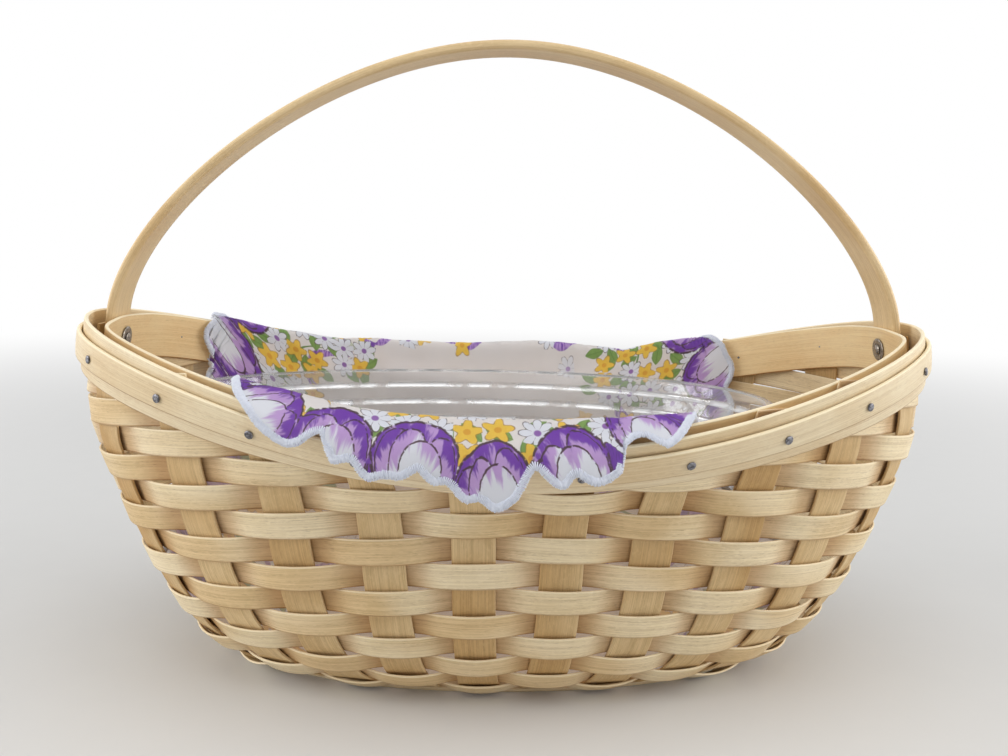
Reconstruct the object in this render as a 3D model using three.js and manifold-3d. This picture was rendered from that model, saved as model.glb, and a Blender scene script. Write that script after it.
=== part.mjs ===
// An oval splint basket with a bent hoop handle, a cloth liner and a clear liner tub.
// Millimetres. X runs along the basket, Y across it and Z up; the basket stands on Z = 0.
import * as THREE from "three";
import { mergeVertices } from "three/addons/utils/BufferGeometryUtils.js";
import Module from "manifold-3d";

const wasm = await Module();
wasm.setup();

// Plan of the woven base: an oval a little fuller than an ellipse.
const baseHalfLength = 132;
const baseHalfWidth = 56;
const planFullness = 2.1;

// How far the wall splints fan out past the base, at the ends and at the sides.
const endSpread = 79;
const sideSpread = 62;

// Length of a side splint from the edge of the base to the rim, how much longer an end
// splint is, and how the rim sweeps up between them.
const sideRise = 155;
const endLift = 49;
const rimSweep = 2.1;

// Slope of the wall in degrees from level: at the base edge, once settled, and how soon.
const endSlopeStart = 10;
const endSlopeSettled = 73;
const endTurn = 38;
const sideSlopeStart = 29;
const sideSlopeSettled = 91;
const sideTurn = 44;

// Over a stretch below the bands the sides begin to flare out and the ends to lean in.
const rimStretch = 42;
const sideFlare = 32;
const endLean = 25;

// Splints and weavers.
const splintWidth = 19;
const splintThickness = 1.2;
const crosswiseCount = 8;
const lengthwiseCount = 3;
const rowPitch = 12.7;
const rowGap = 0.4;
const weaverThickness = 1;
const weaveSlack = 0.5;
const underTopEdge = 1;
const baseSetBack = 15;

// The flat binder that the base stands on.
const binderWidth = 12;
const binderThickness = 2;
const binderInset = 3;

// Rim bands and their shared clearance.
const fit = 0.3;
const rimEase = 0.7;
const trimEase = 0.75;
const bandWidth = 25;
const innerBandThickness = 1.8;
const outerBandThickness = 2;
const trimWidth = 15;
const trimThickness = 2;
const innerBandDrop = 1;

// Hoop handle.
const handleWidth = 23;
const handleThickness = 4.4;
const handleEase = 1;
const handleTop = 315.6;
const handleFoot = 27;
const handleShoulder = 52;
const handleCrown = 94.5;
const bulgeReach = 30;

// Rivet and burr at each foot of the handle.
const rivetShank = 4;
const rivetHead = 9;
const rivetHeadThickness = 1.2;
const burrDiameter = 12;
const burrThickness = 0.9;
const rivetPeen = 0.8;

// Tacks.
const tackHead = 4.4;
const tackHeadThickness = 1;
const tackShank = 1.5;
const tackTip = 0.9;

// Cloth liner: how far it stands off the wood, hangs over the rim, and how its edges round.
const linerShift = -24;
const clothHalfLength = 154;
const clothThickness = 1.2;
const clothStandOff = 1;
const clothRimClear = 1.6;
const clothHangClear = 3.2;
const clothEdgeStep = 0.6;
const clothFrontHang = 27;
const clothBackHang = 44;
const clothFrontRound = 165;
const clothBackRound = 120;
const clothFrontFullness = 2;
const clothBackFullness = 4;
const clothFold = 2.2;
const clothFoldPitch = 58;

// Clear tub: its clearances from the base and the rim, and how its wall draws in.
const tubThickness = 1.2;
const tubFloorEndClear = 48;
const tubFloorSideClear = 14;
const tubTopEndClear = 47;
const tubTopSideClear = 26;
const tubDrop = 3;
const tubDraw = 1.3;
const tubLip = 4;

// Mesh fineness: sections round a band, along the handle, and over the cloth and the tub.
const bandSteps = 68;
const handleSteps = 15;
const clothColumns = 10;
const clothLeastStep = 5;
const clothClimbStep = 0.5;
const turnSag = 0.9;
const foldFlat = 6;
const halvings = 22;
const angleStep = 0.002;
const edgeSamples = 7200;
const tubSteps = 36;
const tubRows = 5;
const tubCrowding = 1.5;

const degrees = Math.PI / 180;
const clamp01 = (value) => Math.min(1, Math.max(0, value));
const smooth = (value) => clamp01(value) ** 2 * (3 - 2 * clamp01(value));
const mix = (a, b, share) => a + (b - a) * share;

// Levels worked out from the sizes above.
const endRise = sideRise + endLift;
const splintHalf = splintThickness / 2;
const crossingStep = splintThickness + fit;
const baseLevel = binderThickness + fit + crossingStep + splintHalf;
const weaverOffset = splintHalf + weaveSlack + weaverThickness / 2;
const weaveFace = weaverOffset + weaverThickness / 2 + rimEase;
const innerBandOffset = -(weaveFace + innerBandThickness / 2);
const outerBandOffset = weaveFace + outerBandThickness / 2;
const trimOffset = weaveFace + outerBandThickness + trimEase + trimThickness / 2;
const splintCount = 2 * (crosswiseCount + lengthwiseCount);

// Signed power: the two coordinates of a superellipse.
const power = (value, exponent) =>
  Math.sign(value) * Math.abs(value) ** (2 / exponent);
const alongShare = (angle) => power(Math.cos(angle), planFullness);
const acrossShare = (angle) => power(Math.sin(angle), planFullness);

// The upright plane in which the wall splint at this angle climbs.
function planeAt(angle) {
  const along = alongShare(angle);
  const across = acrossShare(angle);
  const out = new THREE.Vector2(endSpread * along, sideSpread * across).normalize();
  return {
    foot: new THREE.Vector2(baseHalfLength * along, baseHalfWidth * across),
    out,
    endness: out.x ** 2,
    rise: mix(sideRise, endRise, Math.abs(along) ** rimSweep),
  };
}

// Slope of the wall at one climb, blended from the side's law to the end's.
function slopeAt(plane, climb) {
  const { endness, rise } = plane;
  const start = mix(sideSlopeStart, endSlopeStart, endness);
  const settled = mix(sideSlopeSettled, endSlopeSettled, endness);
  const turn = mix(sideTurn, endTurn, endness);
  const near = smooth(1 - (rise - bandWidth - climb) / rimStretch);
  const rim = mix(-sideFlare, endLean, endness) * near;
  return (settled - (settled - start) * Math.exp(-climb / turn) + rim) * degrees;
}

// Distance out and height after each millimetre of climb, kept for every angle in use.
const climbs = new Map();
function climbTable(angle) {
  const key = angle.toFixed(7);
  if (climbs.has(key)) return climbs.get(key);
  const plane = planeAt(angle);
  const outs = [0];
  const ups = [0];
  for (let step = 0; step < plane.rise + 1; step += 1) {
    const slope = slopeAt(plane, step + 0.5);
    outs.push(outs[step] + Math.cos(slope));
    ups.push(ups[step] + Math.sin(slope));
  }
  const table = { plane, outs, ups };
  climbs.set(key, table);
  return table;
}

// A point of the wall's middle surface.
function wallPoint(angle, climb) {
  const { plane, outs, ups } = climbTable(angle);
  const step = Math.min(Math.max(Math.floor(climb), 0), outs.length - 2);
  const out = mix(outs[step], outs[step + 1], climb - step);
  const up = mix(ups[step], ups[step + 1], climb - step);
  return new THREE.Vector3(
    plane.foot.x + out * plane.out.x,
    plane.foot.y + out * plane.out.y,
    baseLevel + up,
  );
}

// The frame of the wall at a point: along the row, up the splint, and outward.
function wallFrame(angle, climb) {
  const low = Math.max(climb - 1, 0);
  const after = wallPoint(angle + angleStep, climb);
  const along = after.sub(wallPoint(angle - angleStep, climb));
  const up = wallPoint(angle, low + 2).sub(wallPoint(angle, low)).normalize();
  const speed = along.length() / (2 * angleStep);
  const out = along.clone().normalize().cross(up).normalize();
  return { point: wallPoint(angle, climb), up, out, speed };
}

// A point set off the wall's middle surface, outward when the offset is positive.
function offWall(angle, climb, offset) {
  const frame = wallFrame(angle, climb);
  return frame.point.addScaledVector(frame.out, offset);
}
const riseAt = (angle) => planeAt(angle).rise;

// How far the end of the wall curves back over half a width, at the middle of the bands.
function endSag(halfWidth, offset) {
  const climb = endRise - bandWidth / 2;
  let angle = 0;
  while (offWall(angle, climb, offset).y < halfWidth) angle += angleStep;
  return offWall(0, climb, offset).x - offWall(angle, climb, offset).x;
}
const handleSag = endSag(handleWidth / 2, -weaveFace);
const handleOffset = -(weaveFace + handleSag + handleThickness / 2);
const bulge = handleThickness + handleSag + fit;

// Splint angles: equal steps along the edge of the base, starting at its end.
function splintAngles() {
  const edge = (step) => {
    const angle = (step / edgeSamples) * 2 * Math.PI;
    return new THREE.Vector2(
      baseHalfLength * alongShare(angle),
      baseHalfWidth * acrossShare(angle),
    );
  };
  const lengths = [0];
  for (let step = 1; step <= edgeSamples; step += 1) {
    lengths.push(lengths[step - 1] + edge(step).distanceTo(edge(step - 1)));
  }
  const pitch = lengths[edgeSamples] / splintCount;
  return Array.from({ length: splintCount }, (_, place) => {
    const step = lengths.findIndex((length) => length >= place * pitch - 1e-6);
    return (step / edgeSamples) * 2 * Math.PI;
  });
}
const angles = splintAngles();

// Half a splint's width, as an angle, at one climb.
const halfWidthAngle = (angle, climb) =>
  splintWidth / 2 / wallFrame(angle, climb).speed;

// Joins equal sections into one closed body, capped at both ends or closed into a loop.
function loft(sections, isLoop) {
  const corners = sections[0].length;
  const positions = sections.flat().flatMap((corner) => corner.toArray());
  const indices = [];
  const spans = isLoop ? sections.length : sections.length - 1;
  for (let span = 0; span < spans; span += 1) {
    const here = span * corners;
    const next = ((span + 1) % sections.length) * corners;
    for (let corner = 0; corner < corners; corner += 1) {
      const beside = (corner + 1) % corners;
      indices.push(here + corner, next + corner, next + beside);
      indices.push(here + corner, next + beside, here + beside);
    }
  }
  if (!isLoop) {
    const last = (sections.length - 1) * corners;
    for (let corner = 1; corner < corners - 1; corner += 1) {
      indices.push(0, corner, corner + 1);
      indices.push(last, last + corner + 1, last + corner);
    }
  }
  const geometry = new THREE.BufferGeometry();
  geometry.setAttribute("position", new THREE.Float32BufferAttribute(positions, 3));
  geometry.setIndex(indices);
  return facingOut(geometry);
}

// Turns the faces of a closed body outward.
function facingOut(geometry) {
  const at = geometry.getAttribute("position");
  const index = geometry.getIndex();
  const a = new THREE.Vector3();
  const b = new THREE.Vector3();
  const c = new THREE.Vector3();
  let volume = 0;
  for (let face = 0; face < index.count; face += 3) {
    a.fromBufferAttribute(at, index.getX(face));
    b.fromBufferAttribute(at, index.getX(face + 1));
    c.fromBufferAttribute(at, index.getX(face + 2));
    volume += a.dot(b.cross(c));
  }
  if (volume < 0) {
    for (let face = 0; face < index.count; face += 3) {
      const second = index.getX(face + 1);
      index.setX(face + 1, index.getX(face + 2));
      index.setX(face + 2, second);
    }
  }
  return geometry;
}

// Solids for joins and cuts, and back.
function solidOf(geometry) {
  const bare = new THREE.BufferGeometry();
  bare.setAttribute("position", geometry.getAttribute("position"));
  if (geometry.getIndex()) bare.setIndex(geometry.getIndex());
  const merged = mergeVertices(bare, 1e-4);
  return new wasm.Manifold(
    new wasm.Mesh({
      numProp: 3,
      vertProperties: merged.getAttribute("position").array,
      triVerts: new Uint32Array(merged.getIndex().array),
    }),
  );
}
function geometryOf(solid) {
  const mesh = solid.getMesh();
  const geometry = new THREE.BufferGeometry();
  const positions = new THREE.Float32BufferAttribute(mesh.vertProperties, 3);
  geometry.setAttribute("position", positions);
  geometry.setIndex(Array.from(mesh.triVerts));
  return geometry;
}
const cutAway = (geometry, tools) =>
  geometryOf(
    tools.reduce((solid, tool) => solid.subtract(solidOf(tool)), solidOf(geometry)),
  );

// A round or square bar along an axis, from one distance to another.
function bar(origin, axis, from, to, radius, sides) {
  const geometry = new THREE.CylinderGeometry(radius, radius, to - from, sides);
  const middle = origin.clone().addScaledVector(axis, (from + to) / 2);
  const turn = new THREE.Quaternion().setFromUnitVectors(
    new THREE.Vector3(0, 1, 0),
    axis,
  );
  geometry.applyQuaternion(turn);
  geometry.translate(middle.x, middle.y, middle.z);
  return geometry;
}

// A turned piece on an axis: pairs of radius and distance along the axis.
function turned(origin, axis, profile, sides) {
  const outline = profile.map(([radius, along]) => new THREE.Vector2(radius, along));
  const geometry = new THREE.LatheGeometry(outline, sides);
  const turn = new THREE.Quaternion().setFromUnitVectors(
    new THREE.Vector3(0, 1, 0),
    axis,
  );
  geometry.applyQuaternion(turn);
  geometry.translate(origin.x, origin.y, origin.z);
  return geometryOf(solidOf(geometry));
}

// Finishes.
const finish = (color, roughness, metalness, opacity = 1) =>
  new THREE.MeshStandardMaterial({
    color,
    roughness,
    metalness,
    opacity,
    transparent: opacity < 1,
  });
const finishes = {
  splint: () => finish(0xd2b284, 0.62, 0),
  weaver: () => finish(0xdec496, 0.58, 0),
  band: () => finish(0xe4cb9e, 0.52, 0),
  handle: () => finish(0xe3c491, 0.48, 0),
  binder: () => finish(0xb8945f, 0.66, 0),
  tack: () => finish(0x70757c, 0.42, 0.85),
  rivet: () => finish(0x9c9790, 0.38, 0.9),
  cloth: () => finish(0xf0ecf2, 0.86, 0),
  tub: () => finish(0xf4f7f8, 0.12, 0, 0.3),
};
const group = new THREE.Group();
function addPiece(name, geometry, material) {
  const mesh = new THREE.Mesh(geometry, finishes[material]());
  mesh.name = name;
  group.add(mesh);
}

// Tacks sit on the middle of the trim, one on each splint but the two end ones.
const tackClimb = (angle) => riseAt(angle) - bandWidth / 2;
const tacks = angles
  .map((angle, place) => ({ angle, place }))
  .filter(({ place }) => place % (splintCount / 2) !== 0)
  .map(({ angle, place }) => {
    const { point, out } = wallFrame(angle, tackClimb(angle));
    return { place, climb: tackClimb(angle), point, out };
  });
const tackHole = ({ point, out }) =>
  bar(
    point,
    out,
    innerBandOffset - bulge,
    trimOffset + trimThickness,
    tackShank / Math.SQRT2 + fit,
    4,
  );

// Rivets pass through the inner band and the handle at the ends of the basket.
const rivets = [0, Math.PI].map((angle) => wallFrame(angle, tackClimb(angle)));
const rivetHole = ({ point, out }) =>
  bar(
    point,
    out,
    innerBandOffset - bulge - bandWidth,
    handleOffset + handleThickness,
    rivetShank / 2 + fit,
    8,
  );

// A splint's section on the wall: its two edges, kept below the sweeping rim.
function splintSection(angle, climb) {
  const half = halfWidthAngle(angle, climb);
  const corner = (side, offset) => {
    const edge = angle + side * half;
    return offWall(edge, Math.min(climb, riseAt(edge) - underTopEdge), offset);
  };
  return [
    corner(-1, -splintHalf),
    corner(1, -splintHalf),
    corner(1, splintHalf),
    corner(-1, splintHalf),
  ];
}

// Climbs at which a splint has a section: every row's edge, then past its top.
function splintClimbs(angle) {
  const top = riseAt(angle) + rowPitch / 2;
  const count = Math.floor((riseAt(angle) - rowPitch / 2) / rowPitch);
  return [...Array.from({ length: count + 1 }, (_, row) => row * rowPitch), top];
}
const wallRun = (angle) =>
  splintClimbs(angle).map((climb) => splintSection(angle, climb));

// A section of a splint lying in the base: across is a unit vector over its width.
function flatSection(x, y, z, across) {
  const middle = new THREE.Vector3(x, y, z);
  const at = (side, height) =>
    middle
      .clone()
      .addScaledVector(across, (side * splintWidth) / 2)
      .setZ(z + height);
  return [
    at(-1, splintHalf),
    at(1, splintHalf),
    at(1, -splintHalf),
    at(-1, -splintHalf),
  ];
}
const pinsOf = (places) =>
  tacks.filter(({ place }) => places.includes(place)).map(tackHole);

// Crosswise splints: up the front wall, under the load, and up the back wall.
const lastLengthwise = (lengthwiseCount - 1) / 2;
for (let number = 0; number < crosswiseCount; number += 1) {
  const back = lastLengthwise + 1 + number;
  const front = splintCount - back;
  const backAngle = angles[back];
  const foot = planeAt(backAngle).foot;
  const reach = foot.y - baseSetBack;
  const across = new THREE.Vector3(1, 0, 0);
  const frontRun = wallRun(angles[front]).reverse();
  const backRun = wallRun(backAngle).map(([a, b, c, d]) => [b, a, d, c]);
  const flat = [
    flatSection(foot.x, -reach, baseLevel, across),
    flatSection(foot.x, reach, baseLevel, across),
  ];
  const body = loft([...frontRun, ...flat, ...backRun], false);
  addPiece(`crosswise_splint_${number + 1}`, cutAway(body, pinsOf([back, front])), "splint");
}

// Lengthwise splints: they weave over and under the crosswise ones in the base.
for (let number = 0; number < lengthwiseCount; number += 1) {
  const lane = number - lastLengthwise;
  const right = (splintCount + lane) % splintCount;
  const left = splintCount / 2 - lane;
  const foot = planeAt(angles[right]).foot;
  const across = new THREE.Vector3(0, 1, 0);
  const flat = [];
  for (let crossing = 0; crossing < crosswiseCount; crossing += 1) {
    const x = planeAt(angles[lastLengthwise + 1 + crossing]).foot.x;
    const level = baseLevel + crossingStep * ((crossing + number) % 2 ? 1 : -1);
    const reach = splintWidth / 2 + fit;
    flat.push(flatSection(x + reach, foot.y, level, across));
    flat.push(flatSection(x - reach, foot.y, level, across));
  }
  const rightRun = wallRun(angles[right]).reverse();
  const leftRun = wallRun(angles[left]).map(([a, b, c, d]) => [b, a, d, c]);
  const body = loft([...rightRun, ...flat, ...leftRun], false);
  addPiece(`lengthwise_splint_${number + 1}`, cutAway(body, pinsOf([right, left])), "splint");
}

// A weaver's section beside a splint. Side is -1 before the splint and 1 after it.
function weaverSection(place, row, side) {
  const angle = angles[(place + splintCount) % splintCount];
  const offset = (place + row) % 2 === 0 ? weaverOffset : -weaverOffset;
  const low = row * rowPitch + rowGap / 2;
  const high = (row + 1) * rowPitch - rowGap / 2;
  const corner = (climb, depth) =>
    offWall(angle + side * halfWidthAngle(angle, climb), climb, offset + depth);
  const half = weaverThickness / 2;
  return [corner(low, -half), corner(high, -half), corner(high, half), corner(low, half)];
}

// Between two splints a weaver crosses the wall, in one more step where the wall turns.
function crossingSections(place, row) {
  const here = angles[place];
  const next = place + 1 < splintCount ? angles[place + 1] : 2 * Math.PI;
  const middle = (here + next) / 2;
  const climb = (row + 0.5) * rowPitch;
  const chord = wallPoint(here, climb).lerp(wallPoint(next, climb), 0.5);
  if (chord.distanceTo(wallPoint(middle, climb)) < turnSag) return [];
  const low = row * rowPitch + rowGap / 2;
  const high = (row + 1) * rowPitch - rowGap / 2;
  const half = weaverThickness / 2;
  return [
    [
      offWall(middle, low, -half),
      offWall(middle, high, -half),
      offWall(middle, high, half),
      offWall(middle, low, half),
    ],
  ];
}
const sectionsOver = (places, row, isLoop) =>
  places.flatMap((place, step) => [
    weaverSection(place, row, -1),
    weaverSection(place, row, 1),
    ...(isLoop || step < places.length - 1 ? crossingSections(place, row) : []),
  ]);

// Tack holes that touch one row.
const holesInRow = (row, places) =>
  tacks
    .filter(
      ({ place, climb }) =>
        places.includes(place) &&
        Math.abs(climb - (row + 0.5) * rowPitch) < rowPitch / 2 + tackShank,
    )
    .map(tackHole);

// Full rows, one ring each, up to the low middle of the rim.
const fullRows = Math.floor((sideRise - underTopEdge) / rowPitch);
const everyPlace = Array.from({ length: splintCount }, (_, place) => place);
for (let row = 0; row < fullRows; row += 1) {
  const body = loft(sectionsOver(everyPlace, row, true), true);
  const name = `weaver_row_${String(row + 1).padStart(2, "0")}`;
  addPiece(name, cutAway(body, holesInRow(row, everyPlace)), "weaver");
}

// Part rows at the two raised ends, until the bands cover them.
const partRows = Math.round((endRise - bandWidth) / rowPitch) - fullRows;
for (let part = 0; part < partRows; part += 1) {
  const row = fullRows + part;
  const isCarried = (place) =>
    riseAt(angles[place]) > (row + 1) * rowPitch + underTopEdge;
  for (const [end, middle] of [
    ["right", 0],
    ["left", splintCount / 2],
  ]) {
    let reach = 0;
    while (reach < splintCount / 4 - 1 && isCarried((middle + reach + 1) % splintCount)) {
      reach += 1;
    }
    const places = Array.from(
      { length: 2 * reach + 1 },
      (_, step) => (middle - reach + step + splintCount) % splintCount,
    );
    const body = loft(sectionsOver(places, row, false), false);
    const name = `${end}_end_row_${part + 1}`;
    addPiece(name, cutAway(body, holesInRow(row, places)), "weaver");
  }
}

// The binder: a flat hoop under the edge of the base.
const binderSections = Array.from({ length: bandSteps / 2 }, (_, step) => {
  const angle = (step / (bandSteps / 2)) * 2 * Math.PI;
  const at = (inset, z) =>
    new THREE.Vector3(
      (baseHalfLength - inset) * alongShare(angle),
      (baseHalfWidth - inset) * acrossShare(angle),
      z,
    );
  const inner = binderInset + binderWidth;
  return [
    at(inner, 0),
    at(binderInset, 0),
    at(binderInset, binderThickness),
    at(inner, binderThickness),
  ];
});
addPiece("base_binder", loft(binderSections, true), "binder");

// A band that follows the rim: its edges are given as drops below the rim's top.
function rimBand(offsetAt, thickness, topDrop, bottomDrop) {
  const sections = Array.from({ length: bandSteps }, (_, step) => {
    const angle = (step / bandSteps) * 2 * Math.PI;
    const rise = riseAt(angle);
    const offset = offsetAt(angle, rise);
    const corner = (drop, side) =>
      offWall(angle, rise - drop, offset + (side * thickness) / 2);
    return [
      corner(topDrop, -1),
      corner(topDrop, 1),
      corner(bottomDrop, 1),
      corner(bottomDrop, -1),
    ];
  });
  return loft(sections, true);
}

// The inner band bulges inward past the foot of the handle.
const rimEndPoint = wallPoint(0, endRise);
function innerOffset(angle, rise) {
  const point = wallPoint(angle, rise);
  const away = Math.hypot(rimEndPoint.x - Math.abs(point.x), point.y);
  return innerBandOffset - bulge * Math.exp(-((away / bulgeReach) ** 4));
}
const allHoles = tacks.map(tackHole);
const innerBand = rimBand(innerOffset, innerBandThickness, innerBandDrop, bandWidth);
addPiece(
  "inner_rim_band",
  cutAway(innerBand, [...allHoles, ...rivets.map(rivetHole)]),
  "band",
);
const outerBand = rimBand(() => outerBandOffset, outerBandThickness, 0, bandWidth);
addPiece("outer_rim_band", cutAway(outerBand, allHoles), "band");
const trimDrop = (bandWidth - trimWidth) / 2;
const trim = rimBand(() => trimOffset, trimThickness, trimDrop, bandWidth - trimDrop);
addPiece("rim_trim", cutAway(trim, allHoles), "band");

// Handle: its feet follow the wall inside the rim, and its hoop rises from them.
function handlePath() {
  const foot = [];
  for (const drop of [handleFoot, (2 * handleFoot) / 3, handleFoot / 3, 0]) {
    foot.push(offWall(0, endRise - drop, handleOffset).setY(0));
  }
  const top = foot[foot.length - 1];
  const up = top.clone().sub(foot[foot.length - 2]).normalize();
  const crown = handleTop - handleThickness / 2;
  const hoop = new THREE.CubicBezierCurve3(
    top,
    top.clone().addScaledVector(up, handleShoulder),
    new THREE.Vector3(handleCrown, 0, crown),
    new THREE.Vector3(0, 0, crown),
  ).getPoints(handleSteps);
  const half = [...foot.slice(0, -1), ...hoop];
  const other = half
    .slice(0, -1)
    .reverse()
    .map((point) => new THREE.Vector3(-point.x, 0, point.z));
  return [...half, ...other];
}
const handleLine = handlePath();
const handleSections = handleLine.map((point, step) => {
  const before = handleLine[Math.max(step - 1, 0)];
  const after = handleLine[Math.min(step + 1, handleLine.length - 1)];
  const along = after.clone().sub(before).normalize();
  const across = new THREE.Vector3(0, 1, 0);
  const out = along.clone().cross(across).normalize();
  const wide = handleWidth / 2;
  const thick = handleThickness / 2;
  return [
    [wide - handleEase, thick],
    [wide, thick - handleEase],
    [wide, handleEase - thick],
    [wide - handleEase, -thick],
    [handleEase - wide, -thick],
    [-wide, handleEase - thick],
    [-wide, thick - handleEase],
    [handleEase - wide, thick],
  ].map(([side, depth]) =>
    point.clone().addScaledVector(across, side).addScaledVector(out, depth),
  );
});
const headSeat = ({ point, out }) =>
  bar(
    point,
    out,
    handleOffset + handleThickness / 2 - rivetHeadThickness - fit,
    handleOffset + handleThickness,
    rivetHead / 2 + fit,
    8,
  );
addPiece(
  "handle_hoop",
  cutAway(loft(handleSections, false), [...rivets.map(rivetHole), ...rivets.map(headSeat)]),
  "handle",
);

// Rivets: a head let into the handle, a shank, and a peened end over a burr.
const innerFace = innerBandOffset - bulge - innerBandThickness / 2;
["right", "left"].forEach((end, number) => {
  const { point, out } = rivets[number];
  const headTop = handleOffset + handleThickness / 2 - fit;
  const burrTop = innerFace - fit - endSag(burrDiameter / 2, innerFace);
  const burrBottom = burrTop - burrThickness;
  const peenTop = burrBottom - fit;
  const shank = rivetShank / 2;
  const rivet = [
    [0, peenTop - rivetPeen],
    [shank, peenTop - rivetPeen],
    [shank + rivetPeen, peenTop],
    [shank, peenTop],
    [shank, headTop - rivetHeadThickness],
    [rivetHead / 2, headTop - rivetHeadThickness],
    [rivetHead / 2, headTop],
    [0, headTop],
  ];
  addPiece(`${end}_rivet`, turned(point, out, rivet, 8), "rivet");
  const hole = shank + fit;
  const burr = [
    [hole, burrBottom],
    [burrDiameter / 2 - burrThickness / 2, burrBottom],
    [burrDiameter / 2, burrTop - burrThickness / 3],
    [burrDiameter / 2, burrTop],
    [hole, burrTop],
    [hole, burrBottom],
  ];
  addPiece(`${end}_rivet_burr`, turned(point, out, burr, 12), "rivet");
});

// Tacks: a round head on the trim and a square shank through every layer.
tacks.forEach(({ point, out }, number) => {
  const seat = trimOffset + trimThickness / 2 + fit;
  const head = tackHead / 2;
  const shank = tackShank / Math.SQRT2;
  const end = innerBandOffset - innerBandThickness / 2;
  const headProfile = [
    [0, seat],
    [head, seat],
    [head * 0.72, seat + tackHeadThickness * 0.8],
    [0, seat + tackHeadThickness],
  ];
  const shankProfile = [
    [0, end - tackTip],
    [shank * 0.4, end - tackTip],
    [shank, end],
    [shank, seat + tackHeadThickness / 2],
    [0, seat + tackHeadThickness / 2],
  ];
  const body = solidOf(turned(point, out, headProfile, 6)).add(
    solidOf(turned(point, out, shankProfile, 4)),
  );
  const name = `tack_${String(number + 1).padStart(2, "0")}`;
  addPiece(name, geometryOf(body), "tack");
});

// A point off the back half of the wall, given how far along the basket it lies. Its
// climb may depend on the angle, as it does along the rim.
function offWallAt(x, climbOf, offset) {
  let near = 0;
  let far = Math.PI / 2;
  for (let halving = 0; halving < halvings; halving += 1) {
    const angle = (near + far) / 2;
    if (offWall(angle, climbOf(angle), offset).x > Math.abs(x)) near = angle;
    else far = angle;
  }
  const point = offWall(near, climbOf(near), offset);
  return { angle: near, point: point.setX(x) };
}

// Half of the liner's section across the basket: from the middle, over the rim, and down.
const clothHalf = clothThickness / 2;
const clothFootInset = weaverOffset + weaverThickness / 2 + clothStandOff + clothHalf;
const clothRimInset = innerBandThickness / 2 - innerBandOffset + clothRimClear + clothHalf;
const clothFloor = baseLevel + crossingStep + splintHalf + fit + clothHalf;
const hangOffset = trimOffset + trimThickness / 2 + fit + tackHeadThickness;
const wallShares = [0.12, 0.26, 0.42, 0.56, 0.68, 0.8, 0.9, 1];
function linerSection(x) {
  const line = [];
  let start = 0;
  if (offWall(0, 0, -clothFootInset).x > Math.abs(x)) {
    const foot = offWallAt(x, () => 0, -clothFootInset).point;
    const level = Math.max(foot.z, clothFloor);
    line.push([0, level], [foot.y, level]);
  } else {
    while (offWall(0, start, -clothFootInset).x < Math.abs(x)) start += clothClimbStep;
    const low = offWall(0, start, -clothFootInset).z;
    line.push([0, low], [foldFlat, low]);
  }
  for (const share of wallShares) {
    const climbOf = (angle) => mix(start, riseAt(angle), share);
    const { point } = offWallAt(x, climbOf, -mix(clothFootInset, clothRimInset, share));
    line.push([point.y, Math.max(point.z, line[0][1])]);
  }
  const lifted = ({ angle, point }) => {
    const { up } = wallFrame(angle, riseAt(angle));
    return [point.y, point.z + up.z * (clothRimClear + clothHalf)];
  };
  line[line.length - 1] = lifted(offWallAt(x, riseAt, -clothRimInset));
  const outer = lifted(offWallAt(x, riseAt, hangOffset + clothHangClear + clothHalf));
  line.push(outer);
  const lengths = [0];
  for (let step = 1; step < line.length; step += 1) {
    const [y, z] = line[step];
    const [yBefore, zBefore] = line[step - 1];
    lengths.push(lengths[step - 1] + Math.hypot(y - yBefore, z - zBefore));
  }
  const toRim = lengths[line.length - 2];
  const overRim = lengths[line.length - 1];
  const at = (distance) => {
    if (distance >= overRim) {
      const fold = Math.cos((2 * Math.PI * x) / clothFoldPitch);
      const hang = distance - overRim;
      const ripple = (clothFold * (1 + fold) * hang) / (hang + clothFrontHang);
      return [outer[0] + ripple, outer[1] - hang];
    }
    const after = Math.max(1, lengths.findIndex((length) => length > distance));
    const share = (distance - lengths[after - 1]) / (lengths[after] - lengths[after - 1]);
    const [y, z] = line[after - 1];
    return [mix(y, line[after][0], share), mix(z, line[after][1], share)];
  };
  return { toRim, overRim, lengths, at };
}

// How far the liner reaches from its middle line at one place, on one side.
function clothReach(x, side) {
  const share = Math.min(1, Math.abs(x - linerShift) / clothHalfLength);
  const hang = side > 0 ? clothBackHang : clothFrontHang;
  const round = side > 0 ? clothBackRound : clothFrontRound;
  const fullness = side > 0 ? clothBackFullness : clothFrontFullness;
  const drawn = round * (1 - (1 - share ** fullness) ** (1 / fullness));
  return linerSection(x).overRim + hang - drawn;
}

// Places along the liner where its edge comes onto the top of the rim or past it.
function rimCrossings() {
  const crossings = [];
  for (const side of [-1, 1]) {
    for (const end of [-1, 1]) {
      for (const [past, steps] of [
        ["toRim", 3],
        ["overRim", 2],
      ]) {
        let near = linerShift;
        let far = linerShift + end * clothHalfLength;
        for (let halving = 0; halving < halvings; halving += 1) {
          const x = (near + far) / 2;
          if (clothReach(x, side) > linerSection(x)[past] + steps * clothEdgeStep) near = x;
          else far = x;
        }
        crossings.push(near);
      }
    }
  }
  return crossings;
}

// Places along the liner: the crossings, and steps from end to end that keep off them.
function clothPlaces() {
  const crossings = rimCrossings();
  const steps = Array.from({ length: clothColumns + 1 }, (_, column) => {
    const share = Math.sin(((column / clothColumns) * 2 - 1) * (Math.PI / 2));
    return linerShift + clothHalfLength * share;
  });
  const inner = steps.slice(1, -1).filter((x) =>
    crossings.every((crossing) => Math.abs(x - crossing) > clothLeastStep),
  );
  return [steps[0], ...inner, ...crossings, steps[clothColumns]].sort((a, b) => a - b);
}

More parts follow.
